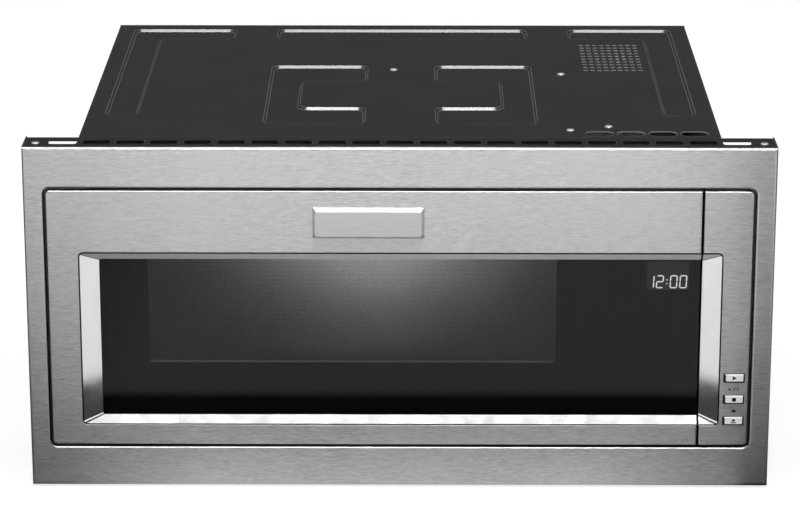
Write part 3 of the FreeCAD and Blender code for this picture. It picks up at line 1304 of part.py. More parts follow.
def ramp(label, fixed_end, start, mirrored):
    """Bright ramp that falls from the steel to the glass on three sides and runs out at the seam."""
    body = new_body(label)
    sign = -1 if mirrored else 1
    far = "%s - %d * seam_gap" % (fixed_end, -sign)

    def frame(side, level, corner, end):
        near_x = "%s + %d * (%s)" % (start, sign, side)
        corners = [(near_x, RAMP_LOW + " + " + level, corner), (end, RAMP_LOW + " + " + level),
                   (end, RAMP_TOP + " - (%s)" % level), (near_x, RAMP_TOP + " - (%s)" % level, corner)]
        return corners

    pad(body, "XZ", FRONT + " + fit",
        [frame("bezel_fit", "bezel_fit", "bezel_corner - bezel_fit", fixed_end)],
        "bezel_depth - fit" if not mirrored else "bezel_depth + fit")
    edge = "bezel_fit + bezel_lip"
    corner = "bezel_corner - bezel_fit - bezel_lip"
    upper = sketch(body, "XZ", FRONT + " + fit", [frame(edge, edge, corner, far)])
    lower = sketch(body, "XZ", GLASS_Y, [frame("bezel_run", "bezel_slope", "bezel_corner / 2", far)])
    before = volume(body)
    loft(body, "SubtractiveLoft", upper, lower)
    if near(volume(body), before):
        raise RuntimeError("the ramp was not cut: " + label)
    piece(label, body)


def door_glass():
    left = RAMP_LEFT + " + bezel_run - glass_lap"
    low, high = RAMP_LOW + " + bezel_slope - glass_lap", GLASS_TOP
    right = DOOR_RIGHT + " - fit"
    body = new_body("door_glass")
    pad(body, "XZ", GLASS_Y, [rectangle(left, low, right, high)], "glass_thick")
    piece("door_glass", body)

    mask = new_body("door_mask")
    window = rectangle(WINDOW_LEFT, WINDOW_LOW, WINDOW_RIGHT, WINDOW_TOP, "window_corner")
    display_left = DOOR_RIGHT + " - display_right - display_width"
    display_high = RAMP_TOP + " - bezel_slope - display_drop"
    display = rectangle(display_left, display_high + " - display_height", DOOR_RIGHT + " - display_right",
                        display_high, "display_corner")
    pad(mask, "XZ", GLASS_BACK, [rectangle(left, low, right, high), window, display], "mask_thick")
    piece("door_mask", mask)

    piece("display_module", block(
        "display_box", (display_left + " - display_lap", DOOR_RIGHT + " - display_right + display_lap"),
        (MASK_BACK, LEDGE_BACK),
        (display_high + " - display_height - display_lap", display_high + " + display_lap")))
    piece("touch_board", block(
        "touch_sheet", (BOARD_LEFT, SHELL_RIGHT + " - touch_inset"),
        (LEDGE_BACK, LEDGE_BACK + " + board_sheet"),
        (RAMP_LOW + " + bezel_slope - touch_lap", RAMP_TOP + " - bezel_slope + touch_lap")))


def door_shell():
    """Moulded door frame: a seat for the glass in front, room for choke and board behind, hinge bores."""
    body = new_body("door_shell")
    left, right = DOOR_LEFT + " + skin + fit", SHELL_RIGHT
    low, high = DOOR_LOW + " + skin + fit", DOOR_TOP + " - skin - fit"
    depth = DOOR_DEPTH + " - panel_inner - skin"
    outline = [(left, low, "skin_corner - skin"), (right, low), (right, high),
               (left, high, "skin_corner - skin")]
    pad(body, "XZ", FRONT + " + skin", [outline], depth)
    rear, side = value(INNER_Y), value(left)
    corner = edges_where(body, lambda box: near(box.YMin, rear) and near(box.YMax, rear)
                         and near(box.XMin, side) and near(box.XMax, side))
    fillet(body, corner, "hinge_inset - skin - fit")
    seat = rectangle(RAMP_LEFT, RAMP_LOW, right + " + seam_gap", RAMP_TOP)
    pocket(body, "XZ", FRONT + " + skin", [seat], "bezel_depth + glass_thick + mask_thick - skin")
    window = rectangle(RAMP_LEFT + " + bezel_run", RAMP_LOW + " + bezel_slope", right + " - shell_post",
                       RAMP_TOP + " - bezel_slope")
    pocket(body, "XZ", MASK_BACK, [window], "trim_depth")
    choke = rectangle(CHOKE_LEFT + " - fit", CHOKE_LOW + " - fit", CHOKE_RIGHT + " + fit",
                      CHOKE_TOP + " + fit")
    pocket(body, "XZ", INNER_Y, [choke], "%s - %s" % (INNER_Y, LEDGE_BACK), -1)
    board_low, board_high = RAMP_LOW + " + bezel_slope - touch_lap", RAMP_TOP + " - bezel_slope + touch_lap"
    room_low = "min(%s; latch_low - latch_margin) - board_room" % board_low
    room_high = "max(%s; latch_low + latch_span + latch_margin) + board_room" % board_high
    board = rectangle(BOARD_LEFT + " - board_room", room_low, right + " - shell_side", room_high)
    pocket(body, "XZ", INNER_Y, [board], "%s - %s" % (INNER_Y, LEDGE_BACK), -1)
    bore = [circle(HINGE_X, HINGE_Y, "hinge_pin + bush_wall + press_gap")]
    pocket(body, "XY", low, bore, "hinge_reach")
    pocket(body, "XY", high, bore, "hinge_reach", -1)
    piece("door_shell", body)


def hinge_bushes():
    parts = []
    for name, z, way in (("low", DOOR_LOW + " + skin + fit", 1), ("top", DOOR_TOP + " - skin - fit", -1)):
        body = new_body("bush_" + name)
        bore = circle(HINGE_X, HINGE_Y, "hinge_pin + hinge_play")
        pad(body, "XY", z, [circle(HINGE_X, HINGE_Y, "hinge_pin + bush_wall"), bore], "hinge_reach", way)
        pad(body, "XY", z, [circle(HINGE_X, HINGE_Y, "hinge_pin + bush_wall + bush_collar"), bore],
            "skin + fit", -way)
        parts.append(body)
    piece("hinge_bushes", group("bushes", *parts))


def door_choke():
    """Pressed metal pan round the oven's mouth with the window cut in its floor."""
    body = new_body("door_choke")
    rim = rectangle(CHOKE_LEFT, CHOKE_LOW, CHOKE_RIGHT, CHOKE_TOP)
    pad(body, "XZ", LEDGE_BACK, [rim], "%s - %s" % (INNER_Y, LEDGE_BACK))
    room = rectangle(CHOKE_LEFT + " + choke_sheet", CHOKE_LOW + " + choke_sheet",
                     CHOKE_RIGHT + " - choke_sheet",
                     CHOKE_TOP + " - choke_sheet")
    pocket(body, "XZ", INNER_Y, [room], "%s - %s - choke_sheet" % (INNER_Y, LEDGE_BACK), -1)
    sides = (WINDOW_LEFT + " - choke_border", WINDOW_RIGHT + " + choke_border")
    window = rectangle(sides[0], WINDOW_LOW + " + choke_sill", sides[1], WINDOW_TOP + " + choke_border")
    pocket(body, "XZ", LEDGE_BACK, [window], "choke_sheet")
    piece("door_choke", body)

    screen_y = (LEDGE_BACK + " + choke_sheet", LEDGE_BACK + " + choke_sheet + screen_sheet")
    piece("door_screen",
          block("screen", (WINDOW_LEFT + " - screen_lap", WINDOW_RIGHT + " + screen_lap"), screen_y,
                               (WINDOW_LOW + " - screen_lap", WINDOW_TOP + " + screen_lap")))

    cover = new_body("door_inner_panel")
    outline = rectangle(HINGE_X + " + cover_hinge", DOOR_LOW + " + cover_inset",
                        DOOR_RIGHT + " - cover_side",
                        DOOR_TOP + " - cover_inset", "cover_corner")
    opening = rectangle(sides[0], WINDOW_LOW + " - choke_border", sides[1], WINDOW_TOP + " + choke_border",
                        "cover_corner")
    slots = [rectangle(LATCH_X + " - latch_plate / 2 - latch_slit",
                       hook_z(n) + " - latch_height / 2 - latch_slit",
                       LATCH_X + " + latch_plate / 2 + latch_slit",
                       hook_z(n) + " + latch_height / 2 + latch_slit")
             for n in range(2)]
    pad(cover, "XZ", INNER_Y, [outline, opening] + slots, "panel_inner")
    piece("door_inner_panel", cover)


def latch_hooks():
    """Plate inside the door with two notched hooks that reach through the front plate."""
    body = new_body("latch_hooks")
    plate = rectangle(LATCH_X + " - latch_foot", "latch_low - latch_margin", LATCH_X + " + latch_foot",
                      "latch_low + latch_span + latch_margin")
    pad(body, "XZ", INNER_Y, [plate], "hook_sheet", -1)
    notch = LATCH_BACK + " - latch_nose"
    root = notch + " - latch_notch"
    for number in range(2):
        z = hook_z(number)
        low, high = z + " - latch_height / 2", z + " + latch_height / 2"
        hook = [(INNER_Y, low), (root, low), (root, low + " + latch_bite"), (notch, low + " + latch_bite"),
                (notch, low), (LATCH_BACK, low + " + latch_chamfer"), (LATCH_BACK, high), (INNER_Y, high)]
        pad(body, "YZ", LATCH_X + " - latch_plate / 2", [hook], "latch_plate")
    piece("latch_hooks", body)


def badge_plate():
    """Bare bevelled plate above the glass."""
    body = new_body("badge_plate")
    left, high = DOOR_LEFT + " + badge_left", DOOR_TOP + " - badge_drop"

    def frame(inset):
        return rectangle("%s + %s" % (left, inset), "%s - badge_height + %s" % (high, inset),
                         "%s + badge_width - %s" % (left, inset), "%s - %s" % (high, inset), "badge_corner")

    root = sketch(body, "XZ", FRONT, [frame("0")])
    face = sketch(body, "XZ", FRONT + " - badge_rise", [frame("badge_bevel")])
    loft(body, "AdditiveLoft", root, face)
    piece("badge_plate", body)


def hinge_brackets():
    """Bent straps on the front plate with a pin each, above and below the door."""
    straps = []
    for name, level, way in (("top", OPEN_TOP + " - fit", -1), ("low", "opening_bottom + fit", 1)):
        body = new_body("bracket_" + name)
        right = HINGE_X + " + bracket_right"
        left, front = HINGE_X + " - bracket_left", HINGE_Y + " - bracket_front"
        beside, clear = "-" + SIDE_X + " + fit", BACK + " - trim_sheet - fit"
        strap = [(left, front), (right, front), (right, PLATE_FRONT), (beside, PLATE_FRONT), (beside, clear),
                 (left, clear)]
        pad(body, "XY", level, [strap], "bracket_sheet", way)
        far = "%s - %d * bracket_rise" % (level, way)
        low, high = (level, far) if way < 0 else (far, level)
        pad(body, "XZ", PLATE_FRONT, [rectangle("bracket_side - " + BODY_X, low, right, high)],
            "bracket_sheet", -1)
        pad(body, "XY", level, [circle(HINGE_X, HINGE_Y, "hinge_pin")], "bracket_sheet + hinge_reach", way)
        straps.append(body)
    piece("hinge_brackets", group("brackets", *straps))


# Latch in the cabinet

def latch():
    """Housing behind the front plate, the sliding bar with two teeth, its solenoid and the door switches."""
    low, high = "(latch_low - case_reach)", "(latch_low + latch_span + case_reach)"
    left, right = LATCH_X + " - case_half", LATCH_X + " + case_half + case_wall"
    hull = block("latch_hull", (left, right), (BACK, CASE_BACK), (low, high))
    room = block("latch_case_room", (left + " - 1", LATCH_X + " + case_half"),
                 (BACK + " - 1", CASE_BACK + " - case_wall"),
                 (low + " + case_wall", high + " - case_wall"))
    bore = rod("latch_bore", "z", "plunger_radius + plunger_play", "case_wall + 2", LATCH_X, BAR_Y,
               low + " - 1")
    piece("latch_housing", cut("latch_case", hull, room, bore))

    stem = block("bar_stem", (LATCH_X + " - bar_width / 2", LATCH_X + " + bar_width / 2"),
                 (BAR_Y + " - bar_depth / 2", BAR_Y + " + bar_depth / 2"),
                 (low + " + case_travel", high + " - case_travel - case_travel"))
    parts = [stem, rod("bar_plunger", "z", "plunger_radius", "coil_height", LATCH_X, BAR_Y,
                       low + " + case_travel - coil_height + 1")]
    tooth_x = (LATCH_X + " - tooth_width / 2", LATCH_X + " + tooth_width / 2")
    tooth_back = LATCH_BACK + " - latch_nose - tooth_play"
    tooth_front = LATCH_BACK + " - latch_nose - latch_notch + tooth_play"
    for number in range(2):
        top = hook_z(number) + " - latch_height / 2 - latch_clear"
        arm_top = top + " - latch_travel"
        arm_low = arm_top + " - tooth_arm"
        parts.append(block("tooth_%d" % number, tooth_x, (tooth_front, tooth_back), (arm_low, top)))
        parts.append(block("tooth_arm_%d" % number, tooth_x, (tooth_front, BAR_Y), (arm_low, arm_top)))
    piece("latch_bar", fuse("bar", *parts))

    coil_low = low + " - coil_height"
    coil = block("coil_case", (left, LATCH_X + " + case_half"), (BACK, CASE_BACK + " + coil_rear"),
                 (coil_low, low))
    bore = rod("coil_bore", "z", "plunger_radius + plunger_play", "coil_height", LATCH_X, BAR_Y,
               coil_low + " + 2")
    piece("solenoid", cut("coil_body", coil, bore))

    parts = []
    for number in range(3):
        level = "%s + switch_start + %d * switch_pitch" % (low, number)
        parts.append(block("switch_%d" % number, (right, right + " + switch_width"),
                           (BACK + " + bar_room", CASE_BACK + " - coil_rear"),
                           (level, level + " + switch_height")))
    piece("interlock_switches", group("switches", *parts))


# Control strip

def control_strip():
    """Steel skin, hollow shell and key board of the narrow strip right of the door."""
    skin = new_body("panel_skin")

    def outline(inset, corner):
        left, right = PANEL_LEFT + " + " + inset, PANEL_RIGHT + " - " + inset
        low, high = DOOR_LOW + " + " + inset, DOOR_TOP + " - " + inset
        return [(left, low), (right, low, corner), (right, high, corner), (left, high)]

    pad(skin, "XZ", FRONT, [outline("0", "skin_corner")], "skin_return")
    face = value(FRONT)
    fillet(skin, edges_where(skin, lambda box: near(box.YMin, face) and near(box.YMax, face)), "skin_edge")
    pocket(skin, "XZ", FRONT + " + skin_return", [outline("skin", "skin_corner - skin")],
           "skin_return - skin", -1)
    beyond = PANEL_LEFT + " - seam_gap"
    mouth = [(beyond, RAMP_LOW), (RAMP_RIGHT, RAMP_LOW, "bezel_corner"),
             (RAMP_RIGHT, RAMP_TOP, "bezel_corner"),
             (beyond, RAMP_TOP)]
    pocket(skin, "XZ", FRONT, [mouth], "skin_return")

    def windows(slack, corner):
        half_x = "(button_width / 2 + %s)" % slack
        half_z = "(button_height / 2 + %s)" % slack
        return [rectangle("%s - %s" % (BUTTON_X, half_x), "%s - %s" % (button_z(n), half_z),
                          "%s + %s" % (BUTTON_X, half_x), "%s + %s" % (button_z(n), half_z), corner)
                for n in range(len(BUTTONS))]

    pocket(skin, "XZ", FRONT, windows("button_slack", "button_corner"), "skin")
    piece("panel_skin", skin)

    shell = new_body("panel_shell")
    left, right = PANEL_LEFT + " + skin + fit", PANEL_RIGHT + " - skin - fit"
    low, high = DOOR_LOW + " + skin + fit", DOOR_TOP + " - skin - fit"
    case = [(left, low), (right, low, "skin_corner - skin"), (right, high, "skin_corner - skin"),
            (left, high)]
    pad(shell, "XZ", FRONT + " + skin", [case], "trim_depth - trim_sheet - skin - 2 * fit")
    seat = rectangle(left + " - seam_gap", RAMP_LOW, RAMP_RIGHT, RAMP_TOP)
    pocket(shell, "XZ", FRONT + " + skin", [seat], "bezel_depth + 2 * fit - skin")
    room = rectangle(left + " + strip_side", low + " + strip_side", right + " - strip_side",
                     high + " - strip_side")
    pocket(shell, "XZ", FRONT + " + strip_wall", [room], "trim_depth")
    pocket(shell, "XZ", FRONT + " + skin", windows("button_slack", "button_corner"), "strip_wall")
    piece("panel_shell", shell)

    for number, name in enumerate(BUTTONS):
        body = new_body(name + "_button")
        x, z = BUTTON_X, button_z(number)

        def frame(grow, corner):
            half_x, half_z = "(button_width / 2 + %s)" % grow, "(button_height / 2 + %s)" % grow
            return rectangle("%s - %s" % (x, half_x), "%s - %s" % (z, half_z), "%s + %s" % (x, half_x),
                             "%s + %s" % (z, half_z), corner)

        pad(body, "XZ", FRONT + " - button_proud + button_edge", [frame("0", "button_corner")],
            "strip_wall + button_proud - button_edge + fit")
        root = sketch(body, "XZ", FRONT + " - button_proud + button_edge", [frame("0", "button_corner")])
        face = sketch(body, "XZ", FRONT + " - button_proud",
                      [frame("-button_edge", "button_corner - button_edge / 2")])
        loft(body, "AdditiveLoft", root, face)
        pad(body, "XZ", FRONT + " + strip_wall + fit", [frame("button_lip", "button_corner")],
            "button_flange")
        piece(name + "_button", body)

    board_y = FRONT + " + strip_wall + fit + button_flange + button_travel + key_gap"
    parts = [block("key_sheet", (left + " + key_inset", right + " - key_inset"),
                   (board_y, board_y + " + board_sheet"),
                   (low + " + key_inset", button_z(2) + " + key_rise"))]
    for number in range(len(BUTTONS)):
        z = button_z(number)
        parts.append(block("key_%d" % number, (BUTTON_X + " - key_half", BUTTON_X + " + key_half"),
                           (board_y + " - key_gap + key_play", board_y),
                           (z + " - key_half", z + " + key_half")))
    piece("key_board", group("keys", *parts))


trim_frame()
trim_vent("trim_vent_top", True)
trim_vent("trim_vent_bottom", False)
trim_rails()
trim_screws()
top_panel()
side_panels()
base_pan()
back_panel()
front_plate()
exhaust_louvre()
cabinet_screws()
feet()
cord_gland()
cavity_wrap()
cavity_floor()
waveguide()
waveguide_cover()
magnetron()
transformer()
capacitor()
fan()
cavity_lamp()
control_board()
turntable()
door_skin()
ramp("door_bezel", DOOR_RIGHT, RAMP_LEFT, False)
door_glass()
door_shell()
hinge_bushes()
door_choke()
latch_hooks()
badge_plate()
hinge_brackets()
latch()
ramp("panel_bezel", PANEL_LEFT, RAMP_RIGHT, True)
control_strip()

doc.recompute()
for item in doc.Objects:
    if "Invalid" in item.State or "Error" in item.State:
        raise RuntimeError("not built: %s %s" % (item.Label, item.State))
os.makedirs("parts", exist_ok=True)
for item in pieces:
    if item.Shape.isNull() or not item.Shape.isValid() or not item.Shape.Solids:
        raise RuntimeError("not a valid solid: " + item.Label)
    item.Shape.exportStep("parts/%s.step" % item.Label)
    print(item.Label, len(item.Shape.Solids), round(item.Shape.Volume))
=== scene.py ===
"""Built-in microwave oven: materials, printed marks, screws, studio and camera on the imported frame."""
import json
import math

import bmesh
import bpy
from mathutils import Matrix, Vector


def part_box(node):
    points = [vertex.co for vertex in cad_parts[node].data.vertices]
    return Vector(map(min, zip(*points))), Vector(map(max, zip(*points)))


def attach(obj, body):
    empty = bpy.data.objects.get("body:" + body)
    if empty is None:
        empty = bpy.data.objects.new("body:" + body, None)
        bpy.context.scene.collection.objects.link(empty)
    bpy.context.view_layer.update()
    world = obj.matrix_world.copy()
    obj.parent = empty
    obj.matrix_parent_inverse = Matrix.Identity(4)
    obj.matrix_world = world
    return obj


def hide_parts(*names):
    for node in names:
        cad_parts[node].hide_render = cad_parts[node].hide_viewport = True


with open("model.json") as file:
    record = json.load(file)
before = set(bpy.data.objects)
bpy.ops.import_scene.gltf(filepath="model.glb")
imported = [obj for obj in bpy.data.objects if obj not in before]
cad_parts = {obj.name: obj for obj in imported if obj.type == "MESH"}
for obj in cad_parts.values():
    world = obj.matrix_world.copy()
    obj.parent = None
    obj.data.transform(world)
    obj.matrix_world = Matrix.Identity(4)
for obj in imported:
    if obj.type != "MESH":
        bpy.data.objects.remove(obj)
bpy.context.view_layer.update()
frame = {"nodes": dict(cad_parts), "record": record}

MM = 0.001
NODES = frame["nodes"]


def box_mm(node):
    """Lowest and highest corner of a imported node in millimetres."""
    low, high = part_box(node)
    return low / MM, high / MM


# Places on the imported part, in millimetres

TRIM_LOW, TRIM_HIGH = box_mm("trim_frame")
LID_LOW, LID_HIGH = box_mm("top_panel")
BACK_PANEL_HIGH = box_mm("back_panel")[1]
RAIL_HIGH = box_mm("trim_rails")[1]
SCREEN_LOW, SCREEN_HIGH = box_mm("display_module")
KEYS = {name: box_mm(name + "_button") for name in ("open", "cancel", "start")}
STEEL_FACE = box_mm("panel_skin")[0].y
KEY_FACE = KEYS["start"][0].y
KEY_X = (KEYS["start"][0].x + KEYS["start"][1].x) / 2
KEY_Z = {name: (low.z + high.z) / 2 for name, (low, high) in KEYS.items()}

# Camera, in metres; sensor and lens in millimetres

CAMERA_SPOT = Vector((0.0180, -3.4358, 1.2289))
CAMERA_PITCH = math.radians(17.263)
CAMERA_YAW = math.radians(-0.3193)
CAMERA_LENS = 147.88
CAMERA_SENSOR = 36
CAMERA_REACH = 60


def make_camera():
    """Long lens in front of the door, a little above the object."""
    data = bpy.data.cameras.new("camera")
    data.sensor_width = CAMERA_SENSOR
    data.lens = CAMERA_LENS
    data.clip_end = CAMERA_REACH
    camera = bpy.data.objects.new("camera", data)
    bpy.context.scene.collection.objects.link(camera)
    ahead = Vector((math.sin(CAMERA_YAW) * math.cos(CAMERA_PITCH),
                    math.cos(CAMERA_YAW) * math.cos(CAMERA_PITCH), -math.sin(CAMERA_PITCH)))
    camera.location = CAMERA_SPOT
    camera.rotation_euler = ahead.to_track_quat("-Z", "Y").to_euler()
    bpy.context.scene.camera = camera


# Node helpers

# Colour sockets of the Mix node, which has others for numbers and vectors
MIX_FIRST, MIX_SECOND, MIX_RESULT = 6, 7, 2


def tune(node, **settings):
    """Set properties or inputs of a node by name."""
    for key, setting in settings.items():
        if hasattr(node, key):
            setattr(node, key, setting)
        else:
            node.inputs[key.replace("_", " ")].default_value = setting
    return node


def add(mat, kind, **settings):
    """New node with some of its properties or inputs set."""
    return tune(mat.node_tree.nodes.new(kind), **settings)


def join(mat, source, target):
    mat.node_tree.links.new(source, target)


def shader_of(mat):
    return mat.node_tree.nodes["Principled BSDF"]


def new_material(name, color, metallic, roughness):
    mat = bpy.data.materials.new(name)
    mat.use_nodes = True
    shader = tune(shader_of(mat), Base_Color=(*color, 1), Metallic=metallic, Roughness=roughness)
    return mat, shader


def place(mat, stretch=(1, 1, 1)):
    """Object coordinates in metres, stretched along the axes."""
    spot = add(mat, "ShaderNodeTexCoord")
    scale = add(mat, "ShaderNodeMapping", Scale=stretch)
    join(mat, spot.outputs["Object"], scale.inputs["Vector"])
    return scale.outputs["Vector"]


def axes(mat, vector):
    """The parts X, Y and Z of a vector."""
    parts = add(mat, "ShaderNodeSeparateXYZ")
    join(mat, vector, parts.inputs["Vector"])
    return parts.outputs


def noise(mat, vector, size, detail=3.0, rough=0.55):
    node = add(mat, "ShaderNodeTexNoise", Scale=size, Detail=detail, Roughness=rough)
    join(mat, vector, node.inputs["Vector"])
    return node.outputs["Fac"]


def remap(mat, source, low, high, start=0.0, stop=1.0):
    """Start where the source is low, stop where it is high, and between them in between."""
    node = add(mat, "ShaderNodeMapRange", From_Min=low, From_Max=high, To_Min=start, To_Max=stop)
    join(mat, source, node.inputs["Value"])
    return node.outputs["Result"]


def math_node(mat, operation, first, second=None):
    node = add(mat, "ShaderNodeMath", operation=operation)
    for socket, term in zip(node.inputs, (first, second)):
        if term is None:
            continue
        if isinstance(term, (int, float)):
            socket.default_value = term
        else:
            join(mat, term, socket)
    return node.outputs["Value"]


def times(mat, *factors):
    product = factors[0]
    for factor in factors[1:]:
        product = math_node(mat, "MULTIPLY", product, factor)
    return product


def weighted(mat, first, second, share):
    """The first value at its share and the second at the rest."""
    rest = times(mat, second, 1 - share)
    return math_node(mat, "ADD", times(mat, first, share), rest)


def two_tone(mat, factor, first, second):
    """Colour between two colours or colour sockets."""
    node = add(mat, "ShaderNodeMix", data_type="RGBA")
    join(mat, factor, node.inputs["Factor"])
    for socket, tone in ((node.inputs[MIX_FIRST], first), (node.inputs[MIX_SECOND], second)):
        if isinstance(tone, tuple):
            socket.default_value = (*tone, 1)
        else:
            join(mat, tone, socket)
    return node.outputs[MIX_RESULT]


def two_scale(mat, factor, level):
    """One where the factor is zero and the level where it is one."""
    away = math_node(mat, "SUBTRACT", 1.0, factor)
    return math_node(mat, "ADD", away, times(mat, factor, level))


def surface(mat, shader, tone, rough):
    """Colour and roughness of a shader."""
    join(mat, tone, shader.inputs["Base Color"])
    join(mat, rough, shader.inputs["Roughness"])


def relief(mat, shader, height, strength, distance, base=None):
    node = add(mat, "ShaderNodeBump", Strength=strength, Distance=distance)
    join(mat, height, node.inputs["Height"])
    if base:
        join(mat, base, node.inputs["Normal"])
    join(mat, node.outputs["Normal"], shader.inputs["Normal"])


def overlay(mat, factor, level):
    """Lay a grey over a material's own colour where the factor is one."""
    tone = shader_of(mat).inputs["Base Color"]
    join(mat, two_tone(mat, factor, tone.links[0].from_socket, grey(level)), tone)


def facing(mat, axis, limit):
    """One on faces whose normal falls below a limit on an axis, zero elsewhere."""
    normal = add(mat, "ShaderNodeNewGeometry").outputs["True Normal"]
    return math_node(mat, "LESS_THAN", axes(mat, normal)[axis], limit)


def grey(level):
    return (level, level, level)


def scaled(color, factor):
    return tuple(min(1.0, part * factor) for part in color)


# Materials

# Most of a noise lies in the wide range; the narrow one gives more contrast
WIDE = (0.3, 0.7)
NARROW = (0.35, 0.65)
# Part of the normal that tells a face to the front, and a face to the top or bottom
FRONT_LIMIT = -0.98
LEVEL_LIMIT = 0.3
EDGE_SAMPLES = 6
# Width of the painted edge highlight
HIGHLIGHT_WIDTH = 0.0012
# Dot product of the rounded and the true normal where the painted edge highlight begins and where it is full
HIGHLIGHT_RANGE = (0.995, 0.95)
CHROME_ROUGH = (0.06, 0.12)
# Length of one wave of the wave texture at scale one
WAVE_LENGTH = 0.314
# The top panel's holes lie within this distance of the middle; its turned sides don't
PUNCHED_HALF = 0.3225
# Millimetres between the print and the glass
PRINT_GAP = 0.03


def brushed_steel():
    """Steel with short horizontal brush marks and a slow change of tone."""
    mat, shader = new_material("brushed_steel", grey(0.6), metallic=1.0, roughness=0.32)
    tune(shader, Anisotropic=0.9, Anisotropic_Rotation=0.25)
    fine = noise(mat, place(mat, stretch=(120, 800, 850)), size=1.0, detail=2.0, rough=0.6)
    streak = noise(mat, place(mat, stretch=(45, 380, 400)), size=1.0, detail=2.0, rough=0.6)
    cloud = noise(mat, place(mat), size=7.0, detail=2.0, rough=0.5)
    marks = weighted(mat, fine, streak, share=0.65)
    tone = two_tone(mat, remap(mat, marks, *WIDE), grey(0.39), grey(0.67))
    patch = two_tone(mat, remap(mat, cloud, *NARROW, start=0.0, stop=0.3), tone, (0.57, 0.575, 0.58))
    surface(mat, shader, patch, remap(mat, marks, *WIDE, start=0.27, stop=0.38))
    edge = add(mat, "ShaderNodeBevel", samples=EDGE_SAMPLES, Radius=0.0008)
    relief(mat, shader, marks, strength=0.04, distance=0.0002, base=edge.outputs["Normal"])
    return mat


def polished(name, level, rough):
    """Bright plated metal with faint polishing haze."""
    mat, shader = new_material(name, grey(level), metallic=1.0, roughness=rough[0])
    haze = noise(mat, place(mat), size=60.0, detail=4.0, rough=0.6)
    tone = two_tone(mat, remap(mat, haze, *NARROW), grey(level * 0.96), grey(level))
    surface(mat, shader, tone, remap(mat, haze, *WIDE, *rough))
    relief(mat, shader, noise(mat, place(mat), size=900.0, detail=2.0), strength=0.02, distance=0.0001)
    return mat


def ramp_metal():
    """Polished slopes inside a flat lip painted dark as shade, with a satin slope at the top."""
    mat = polished("ramp_chrome", level=0.97, rough=CHROME_ROUGH)
    # Painted shade: the flat lip that faces the front is laid over with near black.
    overlay(mat, facing(mat, "Y", FRONT_LIMIT), level=0.015)
    rough = shader_of(mat).inputs["Roughness"]
    satin = times(mat, facing(mat, "Z", -LEVEL_LIMIT), 0.85)
    join(mat, math_node(mat, "MAXIMUM", rough.links[0].from_socket, satin), rough)
    return mat


def badge_metal():
    """Satin face inside a polished bevel."""
    mat, shader = new_material("badge_metal", grey(0.7), metallic=1.0, roughness=0.3)
    flat = facing(mat, "Y", FRONT_LIMIT)
    grain = noise(mat, place(mat, stretch=(60, 500, 700)), size=1.0, detail=3.0, rough=0.6)
    satin = two_tone(mat, remap(mat, grain, *WIDE), grey(0.44), grey(0.52))
    even = remap(mat, flat, 0.0, 1.0, start=0.1, stop=0.32)
    uneven = remap(mat, grain, *WIDE, start=0.0, stop=0.08)
    surface(mat, shader, two_tone(mat, flat, grey(0.88), satin), math_node(mat, "ADD", even, uneven))
    relief(mat, shader, grain, strength=0.05, distance=0.0002)
    return mat


def coated(name, color, rough, grain, bump, metallic=0.0, specular=0.5, spread=0.25):
    """Paint, lacquer, plated sheet or moulded plastic: cloudy tone, fine grain and uneven gloss."""
    mat, shader = new_material(name, color, metallic, rough[0])
    tune(shader, Specular_IOR_Level=specular)
    cloud = noise(mat, place(mat), size=14.0, detail=4.0, rough=0.6)
    fine = noise(mat, place(mat), size=grain, detail=3.0, rough=0.65)
    blend = weighted(mat, cloud, fine, share=0.6)
    dark, pale = scaled(color, 1 - spread), scaled(color, 1 + spread)
    tone = two_tone(mat, remap(mat, blend, *NARROW), dark, pale)
    surface(mat, shader, tone, remap(mat, blend, *WIDE, *rough))
    relief(mat, shader, fine, strength=bump, distance=0.0002)
    return mat


def key_lacquer():
    """Pale lacquer on a key's face and upper slope, with painted shade on its other sides."""
    mat = coated("key_lacquer", (0.93, 0.93, 0.94), rough=(0.22, 0.34), grain=500.0, bump=0.03, spread=0.04)
    # Painted shade: faces that look neither to the front nor up are laid over with near black.
    shaded_sides = math_node(mat, "SUBTRACT", facing(mat, "Z", LEVEL_LIMIT), facing(mat, "Y", FRONT_LIMIT))
    overlay(mat, shaded_sides, level=0.01)
    return mat


def cut_edges(mat, half_width, level):
    """Bare metal on the upright edges of a level sheet, within a distance of its middle."""
    upright = math_node(mat, "SUBTRACT", facing(mat, "Z", LEVEL_LIMIT), facing(mat, "Z", -LEVEL_LIMIT))
    across = math_node(mat, "ABSOLUTE", axes(mat, place(mat))["X"])
    overlay(mat, times(mat, upright, math_node(mat, "LESS_THAN", across, half_width)), level)
    return mat


def painted_edge_highlights(mat, level):
    """Painted highlight: paint lightened along the sharp edges of pressed and punched sheet, as gloss on a
    rounded edge.
    """
    round_edge = add(mat, "ShaderNodeBevel", samples=EDGE_SAMPLES, Radius=HIGHLIGHT_WIDTH)
    align = add(mat, "ShaderNodeVectorMath", operation="DOT_PRODUCT")
    join(mat, round_edge.outputs["Normal"], align.inputs[0])
    join(mat, add(mat, "ShaderNodeNewGeometry").outputs["True Normal"], align.inputs[1])
    overlay(mat, remap(mat, align.outputs["Value"], *HIGHLIGHT_RANGE), level)
    return mat


def dark_glass():
    """Lightly tinted float glass with a clean surface."""
    mat, shader = new_material("door_glass", grey(0.62), metallic=0.0, roughness=0.01)
    tune(shader, Transmission_Weight=1.0, IOR=1.3)
    film = noise(mat, place(mat), size=9.0, detail=3.0, rough=0.6)
    tone = two_tone(mat, film, grey(0.6), grey(0.66))
    surface(mat, shader, tone, remap(mat, film, *WIDE, start=0.004, stop=0.02))
    return mat


